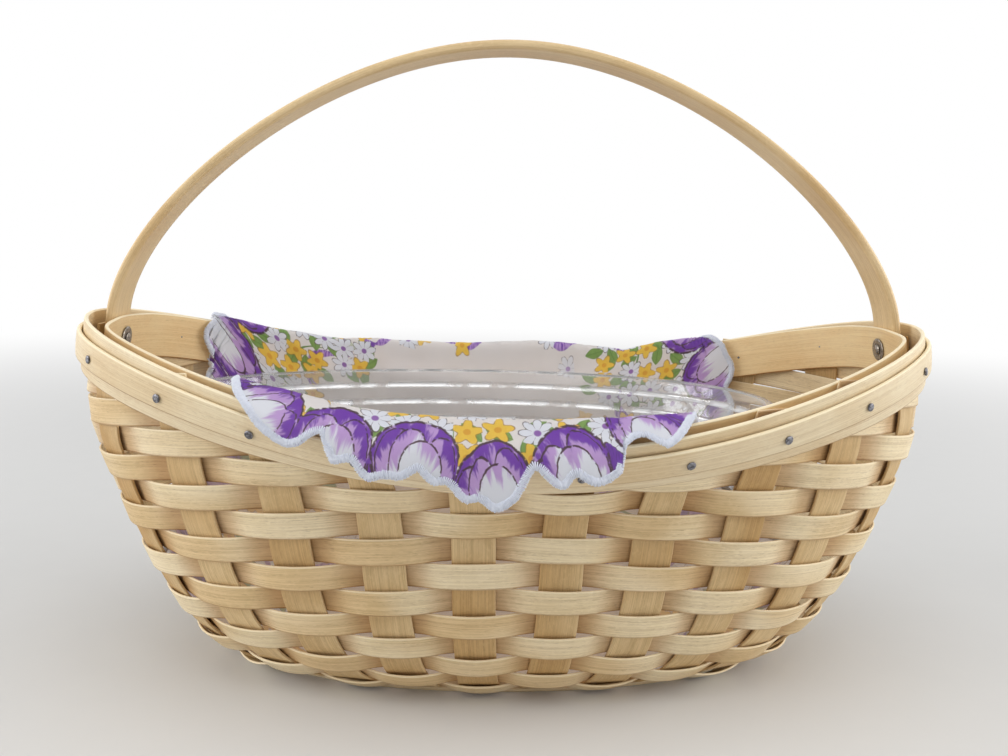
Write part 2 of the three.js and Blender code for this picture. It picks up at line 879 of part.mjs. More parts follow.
// The liner's middle line across the basket at one place: front edge to back edge.
function linerLine(x) {
  const { toRim, overRim, lengths, at } = linerSection(x);
  const half = (side) => {
    const reach = clothReach(x, side);
    const inside = Math.min(toRim, reach - 3 * clothEdgeStep);
    const past = Math.min(overRim, reach - 2 * clothEdgeStep);
    const stations = lengths.slice(0, -1).map((length) => (length / toRim) * inside);
    stations.push(past, (past + reach) / 2, reach);
    return stations.map((distance) => {
      const [y, z] = at(distance);
      return new THREE.Vector3(x, side * y, z);
    });
  };
  return [...half(-1).slice(1).reverse(), ...half(1)];
}

// A sheet of cloth as a closed body: its two faces and the strip round its edge.
function sheetBody(lines, thickness) {
  const rows = lines[0].length;
  const positions = [];
  const indices = [];
  for (const side of [1, -1]) {
    for (const line of lines) {
      line.forEach((point, row) => {
        const before = line[Math.max(row - 1, 0)];
        const after = line[Math.min(row + 1, rows - 1)];
        const tangent = after.clone().sub(before).setX(0).normalize();
        const lift = new THREE.Vector3(0, -tangent.z, tangent.y);
        lift.multiplyScalar((side * thickness) / 2);
        positions.push(...point.clone().add(lift).toArray());
      });
    }
  }
  const under = lines.length * rows;
  const at = (column, row) => column * rows + row;
  const quad = (a, b, c, d) => indices.push(a, b, c, a, c, d);
  for (let column = 0; column < lines.length - 1; column += 1) {
    for (let row = 0; row < rows - 1; row += 1) {
      const a = at(column, row);
      const b = at(column + 1, row);
      const c = at(column + 1, row + 1);
      const d = at(column, row + 1);
      quad(a, b, c, d);
      quad(under + a, under + d, under + c, under + b);
    }
    const ends = [
      [at(column + 1, 0), at(column, 0)],
      [at(column, rows - 1), at(column + 1, rows - 1)],
    ];
    for (const [a, b] of ends) quad(a, b, under + b, under + a);
  }
  for (let row = 0; row < rows - 1; row += 1) {
    const last = lines.length - 1;
    quad(at(0, row), at(0, row + 1), under + at(0, row + 1), under + at(0, row));
    quad(at(last, row + 1), at(last, row), under + at(last, row), under + at(last, row + 1));
  }
  const geometry = new THREE.BufferGeometry();
  geometry.setAttribute("position", new THREE.Float32BufferAttribute(positions, 3));
  geometry.setIndex(indices);
  return facingOut(geometry);
}
addPiece("cloth_liner", sheetBody(clothPlaces().map(linerLine), clothThickness), "cloth");

// The clear tub: an oval with a drawn wall and a narrow lip, standing on the liner.
const tubFloor = linerSection(linerShift).at(0)[1] + clothHalf + fit;
const sideTop = wallPoint(Math.PI / 2, sideRise);
const tubTop = sideTop.z - tubDrop;
const tubTopHalfLength = wallPoint(0, endRise).x - tubTopEndClear;
const tubTopHalfWidth = sideTop.y - tubTopSideClear;
const tubFloorHalfLength = baseHalfLength - tubFloorEndClear;
const tubFloorHalfWidth = baseHalfWidth - tubFloorSideClear;
function tubRing(z, inset) {
  const share = (1 - (z - tubFloor) / (tubTop - tubFloor)) ** tubDraw;
  const halfLength = mix(tubTopHalfLength, tubFloorHalfLength, share) - inset;
  const halfWidth = mix(tubTopHalfWidth, tubFloorHalfWidth, share) - inset;
  return Array.from({ length: tubSteps }, (_, step) => {
    const angle = (step / tubSteps) * 2 * Math.PI;
    const x = linerShift + halfLength * alongShare(angle);
    return new THREE.Vector3(x, halfWidth * acrossShare(angle), z);
  });
}
const tubLevels = Array.from({ length: tubRows + 1 }, (_, row) =>
  mix(tubFloor, tubTop - tubThickness, (row / tubRows) ** tubCrowding),
);
const tubRings = [
  ...tubLevels.map((z) => tubRing(z, 0)),
  tubRing(tubTop - tubThickness, -tubLip),
  tubRing(tubTop, -tubLip),
  tubRing(tubTop, tubThickness),
  ...tubLevels
    .slice(1)
    .reverse()
    .map((z) => tubRing(z, tubThickness)),
  tubRing(tubFloor + tubThickness, 2 * tubThickness),
];
addPiece("clear_tub", loft(tubRings, false), "tub");

export default group;
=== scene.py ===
# %% [markdown]
# # An oval splint basket
# The imported solids are the fixed frame: they say where each piece of the basket is and which
# body carries it. This lesson dresses them, piece by piece, in wood, steel, cloth and clear
# plastic. First the frame is loaded.

# %% Load the frame
import math

import bpy
import numpy as np
from mathutils import Matrix, Vector


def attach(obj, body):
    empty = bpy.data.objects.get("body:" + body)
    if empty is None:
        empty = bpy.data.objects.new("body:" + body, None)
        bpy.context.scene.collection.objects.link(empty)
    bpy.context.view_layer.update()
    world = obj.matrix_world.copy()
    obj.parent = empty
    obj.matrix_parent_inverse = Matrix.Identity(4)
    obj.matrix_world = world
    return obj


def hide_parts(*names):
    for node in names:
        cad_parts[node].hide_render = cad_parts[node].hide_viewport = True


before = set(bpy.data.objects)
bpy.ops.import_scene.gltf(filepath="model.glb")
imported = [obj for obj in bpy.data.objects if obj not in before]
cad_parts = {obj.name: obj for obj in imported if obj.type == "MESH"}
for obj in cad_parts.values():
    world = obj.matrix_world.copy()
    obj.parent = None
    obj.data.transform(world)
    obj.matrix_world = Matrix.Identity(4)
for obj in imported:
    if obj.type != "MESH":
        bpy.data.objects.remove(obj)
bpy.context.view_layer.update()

# %% [markdown]
# ## The camera
# The basket was photographed from a little over the rim, with a wide lens close to it. The
# camera goes where the rows, the rim and the handle line up with the picture: half a metre in
# front, a little left of the middle, turned right and down by a few degrees.

# %% Camera
def put(name, data):
    """A new object in the scene."""
    made = bpy.data.objects.new(name, data)
    bpy.context.scene.collection.objects.link(made)
    return made


CAMERA_AT = (-0.026, -0.4516, 0.217)
YAW, PITCH, ROLL = math.radians(-2.91), math.radians(-8.68), math.radians(1.23)
FOCAL_PIXELS, PICTURE_WIDTH, SENSOR_WIDTH = 871.0, 1008.0, 36.0

camera_data = bpy.data.cameras.new("photo_camera")
camera_data.sensor_width = SENSOR_WIDTH
camera_data.lens = SENSOR_WIDTH * FOCAL_PIXELS / PICTURE_WIDTH
camera_data.clip_start = 0.01
camera = put("photo_camera", camera_data)
aimed = Matrix.Rotation(YAW, 4, "Z") @ Matrix.Rotation(math.pi / 2 + PITCH, 4, "X")
camera.matrix_world = Matrix.Translation(CAMERA_AT) @ aimed @ Matrix.Rotation(ROLL, 4, "Z")
bpy.context.scene.camera = camera
print("lens:", round(camera_data.lens, 2), "mm")

# %% [markdown]
# ## Shader maths as Python expressions
# A wood grain is a formula of a place on the strip. `Wire` wraps one socket of a shader node and
# overloads the arithmetic, so the formula reads as a formula, and `Finish` holds one material
# and adds every other node through a single method.

# %% Nodes and wires
def linear(red, green, blue):
    """A colour read off a screen, as the linear light that a shader wants."""
    channels = [value / 255.0 for value in (red, green, blue)]
    curved = [c / 12.92 if c <= 0.04045 else ((c + 0.055) / 1.055) ** 2.4 for c in channels]
    return (*curved, 1.0)


def feed(socket, value):
    """Links a socket to another one or to a wire's, or gives it a value."""
    value = getattr(value, "socket", value)
    if isinstance(value, bpy.types.NodeSocket):
        socket.id_data.links.new(value, socket)
    else:
        socket.default_value = value


def add_node(tree, kind, settings=None, values=None):
    """A new node: first its settings, then the values or links of its sockets."""
    made = tree.nodes.new(kind)
    for key, value in (settings or {}).items():
        setattr(made, key, value)
    for key, value in (values or {}).items():
        feed(made.inputs[key], value)
    return made


class Wire:
    """One output of a shader node."""

    def __init__(self, graph, socket):
        self.graph = graph
        self.socket = socket

    def math(self, operation, *others):
        values = dict(enumerate((self, *others)))
        return self.graph.node("ShaderNodeMath", {"operation": operation}, values)

    def __rsub__(self, other):
        return self.graph.node("ShaderNodeMath", {"operation": "SUBTRACT"}, {0: other, 1: self})

    def rise(self, low, high):
        """0 below low, 1 above high, and a soft step between them."""
        values = {0: self, 1: low, 2: high, 3: 0.0, 4: 1.0}
        return self.graph.node("ShaderNodeMapRange", {"interpolation_type": "SMOOTHSTEP"}, values)

    def beside(self, output):
        """Another output of the same node."""
        return Wire(self.graph, self.socket.node.outputs[output])


def math_method(operation):
    return lambda wire, *others: wire.math(operation, *others)


METHODS = {
    "__add__": "ADD", "__radd__": "ADD", "__sub__": "SUBTRACT", "__mul__": "MULTIPLY",
    "__rmul__": "MULTIPLY", "__truediv__": "DIVIDE", "__pow__": "POWER", "size": "ABSOLUTE",
    "wave": "SINE", "least": "MINIMUM", "most": "MAXIMUM", "over": "GREATER_THAN", "under": "LESS_THAN",
}
for method, operation in METHODS.items():
    setattr(Wire, method, math_method(operation))
print("operations of a wire:", ", ".join(METHODS))


# %% Graph and Finish
class Graph:
    """A shader tree that grows by expressions."""

    def __init__(self, tree):
        self.tree = tree

    def node(self, kind, settings=None, values=None, output=0):
        return Wire(self, add_node(self.tree, kind, settings, values).outputs[output])

    def looked_at(self):
        """1 for a ray from the camera, also by way of gloss or clear plastic, and 0 for light."""
        direct = self.node("ShaderNodeLightPath", output="Is Camera Ray")
        return direct.most(direct.beside("Is Glossy Ray")).most(direct.beside("Is Transmission Ray"))


class Finish(Graph):
    """A material whose look is a Principled shader fed by expressions."""

    def __init__(self, name, **sockets):
        self.material = bpy.data.materials.new(name)
        self.material.use_nodes = True
        super().__init__(self.material.node_tree)
        self.tree.nodes.clear()
        self.shader = self.node("ShaderNodeBsdfPrincipled")
        self.out = add_node(self.tree, "ShaderNodeOutputMaterial", {}, {"Surface": self.shader})
        self.set(**sockets)

    def set(self, **sockets):
        for key, value in sockets.items():
            feed(self.shader.socket.node.inputs[key.replace("_", " ")], value)

    def blend(self, share, first, second):
        """Puts a mix of two shaders on the surface."""
        mixed = self.node("ShaderNodeMixShader", {}, {0: share, 1: first, 2: second})
        feed(self.out.inputs["Surface"], mixed)

    def attribute(self, name, output="Fac"):
        return self.node("ShaderNodeAttribute", {"attribute_name": name}, output=output)

    def place(self):
        return self.node("ShaderNodeTexCoord", output="Object")

    def vector(self, *parts):
        return self.node("ShaderNodeCombineXYZ", {}, dict(enumerate(parts)))

    def noise(self, place, detail=2.0, roughness=0.5, scale=1.0):
        """Noise at a place, given as a wire or as its two or three parts."""
        place = place if isinstance(place, Wire) else self.vector(*place)
        values = {"Vector": place, "Scale": scale, "Detail": detail, "Roughness": roughness}
        return self.node("ShaderNodeTexNoise", {}, values)

    def mix(self, share, first, second, blend="MIX"):
        settings = {"data_type": "RGBA", "blend_type": blend}
        return self.node("ShaderNodeMix", settings, {0: share, 6: first, 7: second}, output=2)

    def coats(self, colour, *coats):
        """Lays coats on a colour, each given by its share, its colour and perhaps its blend."""
        for share, coat, *blend in coats:
            colour = self.mix(share, colour, coat, *blend)
        return colour

    def bump(self, height, strength, distance):
        values = {"Height": height, "Strength": strength, "Distance": distance}
        self.set(Normal=self.node("ShaderNodeBump", {}, values))


# %% [markdown]
# ## The shape of the wall
# Every piece of the basket follows one surface, the woven wall. A place on it is given by an
# angle round the basket and a climb, the distance along an upright from the edge of the base.
# The slope of the wall is a simple law of the climb, so its height and reach come from adding up
# small steps. The numbers are the ones that the solids were made from, in millimetres.

# %% Sizes of the wall
MM, FULL_TURN = 0.001, 2.0 * np.pi
BASE_HALF, SPREAD, PLAN_FULLNESS = np.array([132.0, 56.0]), np.array([79.0, 62.0]), 2.1
SIDE_RISE, END_LIFT, RIM_SWEEP = 155.0, 49.0, 2.1
END_RISE = SIDE_RISE + END_LIFT
# degrees at the foot and once settled, and the climb over which the wall turns from one to the other
END_SLOPE, SIDE_SLOPE = (10.0, 73.0, 38.0), (29.0, 91.0, 44.0)
RIM_STRETCH, SIDE_FLARE, END_LEAN = 42.0, 32.0, 25.0
BAND_WIDTH, BASE_LEVEL = 25.0, 4.4
CROSSWISE, LENGTHWISE = 8, 3
SPLINTS = 2 * (CROSSWISE + LENGTHWISE)


def shares(angle):
    """How far along and across the oval plan an angle lies, each from -1 to 1."""
    parts = np.stack([np.cos(angle), np.sin(angle)], -1)
    return np.sign(parts) * np.abs(parts) ** (2.0 / PLAN_FULLNESS)


def rise_at(angle):
    return SIDE_RISE + END_LIFT * np.abs(shares(angle)[..., 0]) ** RIM_SWEEP


print("climb to the rim:", rise_at(np.pi / 2).round(1), "to", rise_at(0.0).round(1), "mm")

# %% Wall surface
GRID_ANGLES = np.linspace(0.0, FULL_TURN, 1441)
GRID_CLIMBS = np.arange(0.0, 216.0)


def smooth(value):
    held = np.clip(value, 0.0, 1.0)
    return held * held * (3.0 - 2.0 * held)


def unit(vectors):
    return vectors / np.linalg.norm(vectors, axis=-1, keepdims=True)


def out_direction(angle):
    return unit(shares(angle) * SPREAD)


def climb_tables():
    """How far out and up the wall has gone after each millimetre of climb, for every angle."""
    endness = (out_direction(GRID_ANGLES)[:, 0] ** 2)[:, None]
    rise = rise_at(GRID_ANGLES)[:, None]
    start, settled, turn = [s + (e - s) * endness for s, e in zip(SIDE_SLOPE, END_SLOPE)]
    climb = GRID_CLIMBS[None, :-1] + 0.5
    near = smooth(1.0 - (rise - BAND_WIDTH - climb) / RIM_STRETCH)
    bend = (-SIDE_FLARE + (END_LEAN + SIDE_FLARE) * endness) * near
    slope = np.radians(settled - (settled - start) * np.exp(-climb / turn) + bend)
    return [np.pad(np.cumsum(part(slope), axis=1), ((0, 0), (1, 0))) for part in (np.cos, np.sin)]


def bilinear(table, x, y):
    """Reads a table between its grid points."""
    column = np.clip(x.astype(int), 0, table.shape[0] - 2)
    row = np.clip(y.astype(int), 0, table.shape[1] - 2)
    s, t = x - column, y - row
    low, high = [table[column, at] * (1 - s) + table[column + 1, at] * s for at in (row, row + 1)]
    return low * (1 - t) + high * t


TABLES = climb_tables()


def wall(angle, climb):
    """Points of the wall's middle surface, in millimetres."""
    angle, climb = np.broadcast_arrays(np.asarray(angle, float), np.asarray(climb, float))
    turn = np.mod(angle, FULL_TURN) / GRID_ANGLES[1]
    reach, up = [bilinear(table, turn, climb)[..., None] for table in TABLES]
    flat = BASE_HALF * shares(angle) + reach * out_direction(angle)
    return np.concatenate([flat, BASE_LEVEL + up], -1)


def wall_axes(angle, climb):
    """Along the row, up the upright and outward, at each place."""
    row = unit(wall(angle + 0.002, climb) - wall(angle - 0.002, climb))
    low = np.maximum(climb - 1.0, 0.0)
    up = unit(wall(angle, low + 2.0) - wall(angle, low))
    return row, up, unit(np.cross(row, up))


def off_wall(angle, climb, offset):
    """Points at an offset from the wall, and the way outward there."""
    angle, climb = np.broadcast_arrays(np.asarray(angle, float), np.asarray(climb, float))
    out = wall_axes(angle, climb)[2]
    return wall(angle, climb) + out * np.asarray(offset, float)[..., None], out


def run_along(points):
    """Distance along a chain of points."""
    steps = np.linalg.norm(np.diff(points, axis=0), axis=1)
    return np.concatenate([[0.0], np.cumsum(steps)])


def splint_angles():
    """Equal steps along the edge of the base, the first at its right end."""
    angle = np.linspace(0.0, FULL_TURN, 7201)
    run = run_along(shares(angle) * BASE_HALF)
    return np.interp(np.arange(SPLINTS) / SPLINTS * run[-1], run, angle)


PLACES = splint_angles()
print("wall at the middle of a side:", wall(np.pi / 2, SIDE_RISE).round(1), "mm")
print("wall at an end:", wall(0.0, END_RISE).round(1), "mm")

# %% [markdown]
# ## One tree for every strip of wood
# Rows, uprights, bands, the binder and the handle are all the same thing: a thin flat strip that
# follows a path and keeps one face towards a given side. Sweeping a section along a path is what
# Geometry Nodes do best, so one tree serves them all. It takes the path as a chain of edges
# whose points carry the direction of the face, turns the section to it, and sets the finish.
# The section's own "across" value and the path's "along" value stay on the result, and the
# wood's grain is drawn on them.

# %% Tree: a strip along a path
def new_tree(name, **inputs):
    """A tree that takes a mesh and the named inputs, and the outputs of its first node."""
    tree = bpy.data.node_groups.new(name, "GeometryNodeTree")
    for label, kind in {"Geometry": "Geometry", **inputs}.items():
        tree.interface.new_socket(label, in_out="INPUT", socket_type="NodeSocket" + kind)
    tree.interface.new_socket("Geometry", in_out="OUTPUT", socket_type="NodeSocketGeometry")
    return tree, tree.nodes.new("NodeGroupInput").outputs


def step(tree, kind, values, **settings):
    """The first output of a new node."""
    return add_node(tree, kind, settings, values).outputs[0]


def named_vector(tree, name):
    return step(tree, "GeometryNodeInputNamedAttribute", {"Name": name}, data_type="FLOAT_VECTOR")


def object_shape(tree, given):
    return add_node(tree, "GeometryNodeObjectInfo", {}, {"Object": given}).outputs["Geometry"]


def finished(tree, shape, material):
    """Ends a tree with real geometry in its material."""
    real = step(tree, "GeometryNodeRealizeInstances", {"Geometry": shape})
    coated = step(tree, "GeometryNodeSetMaterial", {"Geometry": real, "Material": material})
    add_node(tree, "NodeGroupOutput", {}, {"Geometry": coated})
    return tree


def strip_tree():
    tree, given = new_tree("Strip along a path", Section="Object", Wood="Material")
    path = step(tree, "GeometryNodeMeshToCurve", {"Mesh": given["Geometry"]})
    values = {"Curve": path, "Normal": named_vector(tree, "face")}
    turned = step(tree, "GeometryNodeSetCurveNormal", values, mode="FREE")
    outline = step(tree, "GeometryNodeMeshToCurve", {"Mesh": object_shape(tree, given["Section"])})
    values = {"Curve": turned, "Profile Curve": outline, "Fill Caps": True}
    return finished(tree, step(tree, "GeometryNodeCurveToMesh", values), given["Wood"])


STRIP_TREE = strip_tree()
print(STRIP_TREE.name + ":", len(STRIP_TREE.nodes), "nodes")


# %% Using a tree on a mesh
def shade_smooth(mesh):
    mesh.polygons.foreach_set("use_smooth", [True] * len(mesh.polygons))


def new_object(name, points, edges=(), faces=(), attributes=None):
    """A mesh object from points in metres, with float or vector values at its points."""
    mesh = bpy.data.meshes.new(name)
    mesh.from_pydata([tuple(p) for p in points], [tuple(e) for e in edges], [tuple(f) for f in faces])
    shade_smooth(mesh)
    for label, values in (attributes or {}).items():
        values = np.asarray(values, np.float32)
        vector = values.ndim == 2
        made = mesh.attributes.new(label, "FLOAT_VECTOR" if vector else "FLOAT", "POINT")
        made.data.foreach_set("vector" if vector else "value", values.ravel())
    return put(name, mesh)


def run_tree(source, tree, inputs, name):
    """Applies a tree to a source object and returns the result as a plain mesh object."""
    modifier = source.modifiers.new("shape", "NODES")
    modifier.node_group = tree
    identifiers = {s.name: s.identifier for s in tree.interface.items_tree if s.in_out == "INPUT"}
    for label, value in inputs.items():
        modifier[identifiers[label]] = value
    bpy.context.view_layer.update()
    graph = bpy.context.evaluated_depsgraph_get()
    mesh = bpy.data.meshes.new_from_object(source.evaluated_get(graph), depsgraph=graph)
    bpy.data.objects.remove(source)
    mesh.name = name
    shade_smooth(mesh)
    return put(name, mesh)


def settle(piece, body, slot, *nodes):
    """Says which body carries a piece and hides the solids it stands for. The slot is not used."""
    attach(piece, body)
    if nodes:
        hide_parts(*nodes)


# %% Sections of the strips, and the strips
TOOLS = []


def new_tool(name, points, edges=(), faces=(), attributes=None):
    """A form that only the trees use. It is hidden, and goes at the end."""
    made = new_object(name, points, edges, faces, attributes)
    made.hide_render = True
    TOOLS.append(made)
    return made


def strip_section(name, width, thickness, edge_round, crown=0.0):
    """A closed outline with rounded edges. Some extra points inside each edge keep the wide
    faces flat when the strip is shaded smooth, and crown raises the middle of both faces."""
    half_width, half_thick, points = width / 2, thickness / 2, []
    for side, face, start in ((1, 1, 0), (-1, 1, 90), (-1, -1, 180), (1, -1, 270)):
        for turn in (0, 30, 60, 90):
            angle = math.radians(start + turn)
            x = side * (half_width - edge_round) + edge_round * math.cos(angle)
            y = face * (half_thick - edge_round) + edge_round * math.sin(angle)
            points.append((x, y))
        if start in (0, 180):
            for share in (0.86, 0.4, 0.0, -0.4, -0.86):
                x = side * share * (half_width - edge_round)
                points.append((x, face * (half_thick + crown * (1 - share * share))))
    loop = [(k, (k + 1) % len(points)) for k in range(len(points))]
    flat = [(y * MM, -x * MM, 0.0) for x, y in points]
    values = {"across": [x for x, _ in points], "depth": [y for _, y in points]}
    return new_tool(name, flat, loop, attributes=values)


rng = np.random.default_rng(1907)


def sweep(name, node, slot, points, faces, section, finish, closed=True, tuck=0.0):
    """A strip along points (mm) whose outer face looks along the given directions. Tuck is 1
    where the strip is tucked in behind another and 0 where it lies open; the wood puts a painted
    shade where it is 1."""
    count = len(points)
    ahead = np.roll(points, -1, 0) - np.roll(points, 1, 0) if closed else np.gradient(points, axis=0)
    tangent = unit(ahead)
    faces = unit(faces - tangent * np.sum(faces * tangent, -1, keepdims=True))
    edges = [(k, (k + 1) % count) for k in range(count if closed else count - 1)]
    path = new_object(name + "_path", points * MM, edges, attributes={
        "face": faces, "along": run_along(points), "tone": np.full(count, rng.random()),
        "tuck": np.zeros(count) + tuck,
    })
    piece = run_tree(path, STRIP_TREE, {"Section": section, "Wood": finish.material}, name)
    settle(piece, "basket", slot, node)
    return piece


# %% [markdown]
# ## Wood
# The strips are clear-finished maple, cut thin with the grain along them. Close up they show
# fine straight fibres, short dark flecks and slow bands of colour. A painted highlight lightens
# the upper edges and a painted shade darkens the lower ones. Where a row tucks in behind an
# upright a painted shade makes it browner. All of it is drawn in the strip's own coordinates,
# stretched along it, and each strip has its own tone and its own place in the noise, so no two
# look alike.

# %% Finish: maple strip
# the third colour is a painted highlight for the upper edges of the strips
SLOW_BAND, SPECK_BROWN, UPPER_EDGE_HIGHLIGHT = linear(230, 211, 180), linear(120, 88, 54), linear(255, 240, 206)
# painted shade colours: the first for the lower edges, the second where a row tucks in behind an
# upright
LOWER_EDGE_SHADE, TUCKED_SHADE = linear(176, 138, 96), linear(190, 150, 104)


def maple(
    name, width, light, middle, dark,
    fleck=0.2, streak=0.36, rough=0.42, relief=0.2, edge_light_and_shade=0.95, season=0.4,
):
    finish = Finish(name, Roughness=rough, IOR=1.5, Specular_IOR_Level=0.3)
    light, middle, dark = linear(*light), linear(*middle), linear(*dark)
    along, from_middle, depth, tone, tuck = [
        finish.attribute(label) for label in ("along", "across", "depth", "tone", "tuck")
    ]
    across, place = from_middle + depth, tone * 91.0
    # each noise has its length and its width in millimetres, and a place of its own
    drift = finish.noise((along / 60.0, place), 1.0) * 3.0
    fibres = finish.noise((along / 48.0, across / 0.26 + drift * 2.0, place), 2.0, 0.6)
    figure = finish.noise((along / 70.0, across / 1.4 + drift, place + 7.0), 3.0, 0.6)
    clouds = finish.noise((along / 26.0, across / 16.0, place + 13.0), 3.0, 0.6)
    specks = finish.noise((along / 3.4, across / 0.22, place + 29.0), 1.0)
    silver = finish.noise((along / 2.6, across / 1.3, place + 41.0), 2.0)
    seasons = finish.noise((along / 85.0, across / 60.0, place + 53.0), 1.0)
    own = (tone * 7.31).math("FRACT")
    # the upper edge gets a painted highlight and the lower edge a painted shade
    highlit_upper_edge = from_middle.rise(width / 2 - 0.75, width / 2 - 0.3)
    shaded_lower_edge = (from_middle * -1.0).rise(width / 2 - 0.9, width / 2 - 0.4)
    finish.set(Base_Color=finish.coats(
        finish.mix(clouds.rise(0.32, 0.68) * 0.65 + own * 0.35, light, middle),
        (figure.rise(0.44, 0.68) * 0.5 * streak, dark),
        (fibres.rise(0.40, 0.68) * streak, dark),
        (silver.rise(0.52, 0.68) * 0.3, light),
        (seasons.rise(0.42, 0.64) * season, SLOW_BAND, "MULTIPLY"),
        (specks.rise(0.60, 0.70) * figure.rise(0.38, 0.55) * fleck, SPECK_BROWN),
        # painted highlight on the upper edge, then painted shade along the lower edge
        (highlit_upper_edge * edge_light_and_shade, UPPER_EDGE_HIGHLIGHT),
        (shaded_lower_edge * edge_light_and_shade * 0.9, LOWER_EDGE_SHADE, "MULTIPLY"),
        # painted shade on the outer face where a row tucks in behind an upright
        (tuck * depth.rise(-0.1, 0.1) * 0.6, TUCKED_SHADE, "MULTIPLY"),
    ))
    finish.set(Roughness=rough + fibres * 0.16 - 0.06)
    finish.bump(fibres + figure * 0.6 + silver * 0.3, relief, 0.0003)
    return finish


ROW_WIDTH, ROW_THICKNESS = 12.3, 1.0
SPLINT_WIDTH, SPLINT_THICKNESS = 19.0, 1.2
WEAVER_WOOD = maple(
    "maple_weaver", ROW_WIDTH, (251, 234, 199), (237, 218, 178), (174, 144, 100),
    fleck=0.35, rough=0.5, edge_light_and_shade=0.6, season=0.75,
)
SPLINT_WOOD = maple(
    "maple_splint", SPLINT_WIDTH, (228, 200, 152), (208, 177, 127), (158, 126, 82),
    fleck=0.25, streak=0.38, rough=0.56, relief=0.3, edge_light_and_shade=0.1, season=0.75,
)
print("a maple finish:", len(WEAVER_WOOD.tree.nodes), "nodes")

# %% [markdown]
# ## Rows of weaving
# A row is one strip that runs round the basket, in front of one upright and behind the next. On
# the real basket the strip is stiff, so it bows well clear of each upright it passes, and that
# bow is what gives the wall its steps and its shadows. The path is the wall surface pushed in
# and out by a wave whose crests lie on the uprights. Each crest is a little stronger or weaker
# than the next and tips a little, as hand work does.

# %% Path of a row
ROW_PITCH, ROW_BOW, BOW_SHARPNESS = 12.7, 2.25, 0.8
STRENGTH_SPREAD, LIFT_SPREAD, TIP_SPREAD = 0.14, 0.22, 0.055
ROW_SECTION = strip_section("row_section", ROW_WIDTH, ROW_THICKNESS, 0.32)


def between_places(places, values, last):
    """Values of the uprights, joined smoothly round the basket."""
    return np.interp(places % SPLINTS, np.arange(SPLINTS + 1), [*values, last])


def crest_values(spread, places):
    values = rng.uniform(-spread, spread, SPLINTS)
    return between_places(places, values, values[0])


def row_path(row, places):
    angle = np.floor(places / SPLINTS) * FULL_TURN + between_places(places, PLACES, FULL_TURN)
    spreads = (STRENGTH_SPREAD, LIFT_SPREAD, TIP_SPREAD)
    strength, lift, tip = [crest_values(spread, places) for spread in spreads]
    wave = np.cos(np.pi * places) * (-1) ** row
    bow = ROW_BOW * np.sign(wave) * np.abs(wave) ** BOW_SHARPNESS * (1 + strength)
    climb = (row + 0.5) * ROW_PITCH + lift
    _, up, out = wall_axes(angle, climb)
    # tuck is the mask of a painted shade in the wood near each crossing
    tuck = smooth((0.45 - wave) / 1.1)
    return wall(angle, climb) + out * bow[:, None], out + up * tip[:, None], tuck


def weave(name, node, row, places, closed):
    points, faces, tuck = row_path(row, places)
    return sweep(name, node, "weaver", points, faces, ROW_SECTION, WEAVER_WOOD, closed, tuck)


# %% Full rows
FULL_ROWS, STEPS_PER_PLACE, SEAM_PLACE = 12, 14, 5
for row in range(FULL_ROWS):
    round_trip = np.linspace(0.0, SPLINTS, SPLINTS * STEPS_PER_PLACE, endpoint=False)
    places = SEAM_PLACE + row % 2 + round_trip
    strip = weave(f"row_{row + 1:02d}_weave", f"weaver_row_{row + 1:02d}", row, places, True)
print("full rows:", FULL_ROWS, "of", len(strip.data.polygons), "faces each")

# %% Part rows at the raised ends
MOST_REACH, TUCKED_END = 4, 0.3


def part_row_reach(row, middle):
    """How many uprights each way carry a part row."""
    reach, top = 0, (row + 1) * ROW_PITCH + 1.0
    while reach < MOST_REACH and rise_at(PLACES[(middle + reach + 1) % SPLINTS]) > top:
        reach += 1
    return reach


for part in (1, 2):
    row = FULL_ROWS + part - 1
    for end, middle in (("right", 0), ("left", SPLINTS // 2)):
        reach = part_row_reach(row, middle) + TUCKED_END
        places = np.linspace(middle - reach, middle + reach, int(2 * reach * STEPS_PER_PLACE))
        weave(f"{end}_part_row_{part}", f"{end}_end_row_{part}", row, places, False)
        print(end, "part row", part, "reaches", reach, "uprights each way")

# %% [markdown]
# ## Uprights
# Eight splints cross the base and climb both long walls, and three run the length of the basket
# and up its ends. Each is one strip from rim to rim. Where a row passes in front it presses the
# upright in a little, and where it passes behind it lets the upright out.

# %% Path of an upright
PRESS, TOP_DROP, CLIMB_STEP, SOFTENING = 0.45, 4.0, 2.2, 6
UPRIGHT_SECTION = strip_section("upright_section", SPLINT_WIDTH, SPLINT_THICKNESS, 0.36)
DOWN = np.array([0.0, 0.0, -1.0])


def climb_run(place):
    """Points and faces from the edge of the base to the rim."""
    angle = PLACES[place % SPLINTS]
    climb = np.arange(0.0, rise_at(angle) - TOP_DROP, CLIMB_STEP)
    sway = -PRESS * np.cos(np.pi * (climb / ROW_PITCH - 0.5)) * (-1) ** place
    return off_wall(angle, climb, sway)


def soften(points):
    """Rounds the corners of a path and keeps its ends."""
    for _ in range(SOFTENING):
        points[1:-1] = points[1:-1] * 0.5 + (points[:-2] + points[2:]) * 0.25
    return points


def upright(kind, number, first, last, base_points):
    near, near_faces = climb_run(first)
    far, far_faces = climb_run(last)
    under = np.tile(DOWN, (len(base_points), 1))
    points = soften(np.vstack([near[::-1], base_points, far[1:]]))
    faces = soften(np.vstack([near_faces[::-1], under, far_faces[1:]]))
    name, node = f"{kind}_upright_{number + 1}", f"{kind}_splint_{number + 1}"
    return sweep(name, node, "splint", points, faces, UPRIGHT_SECTION, SPLINT_WOOD, False)


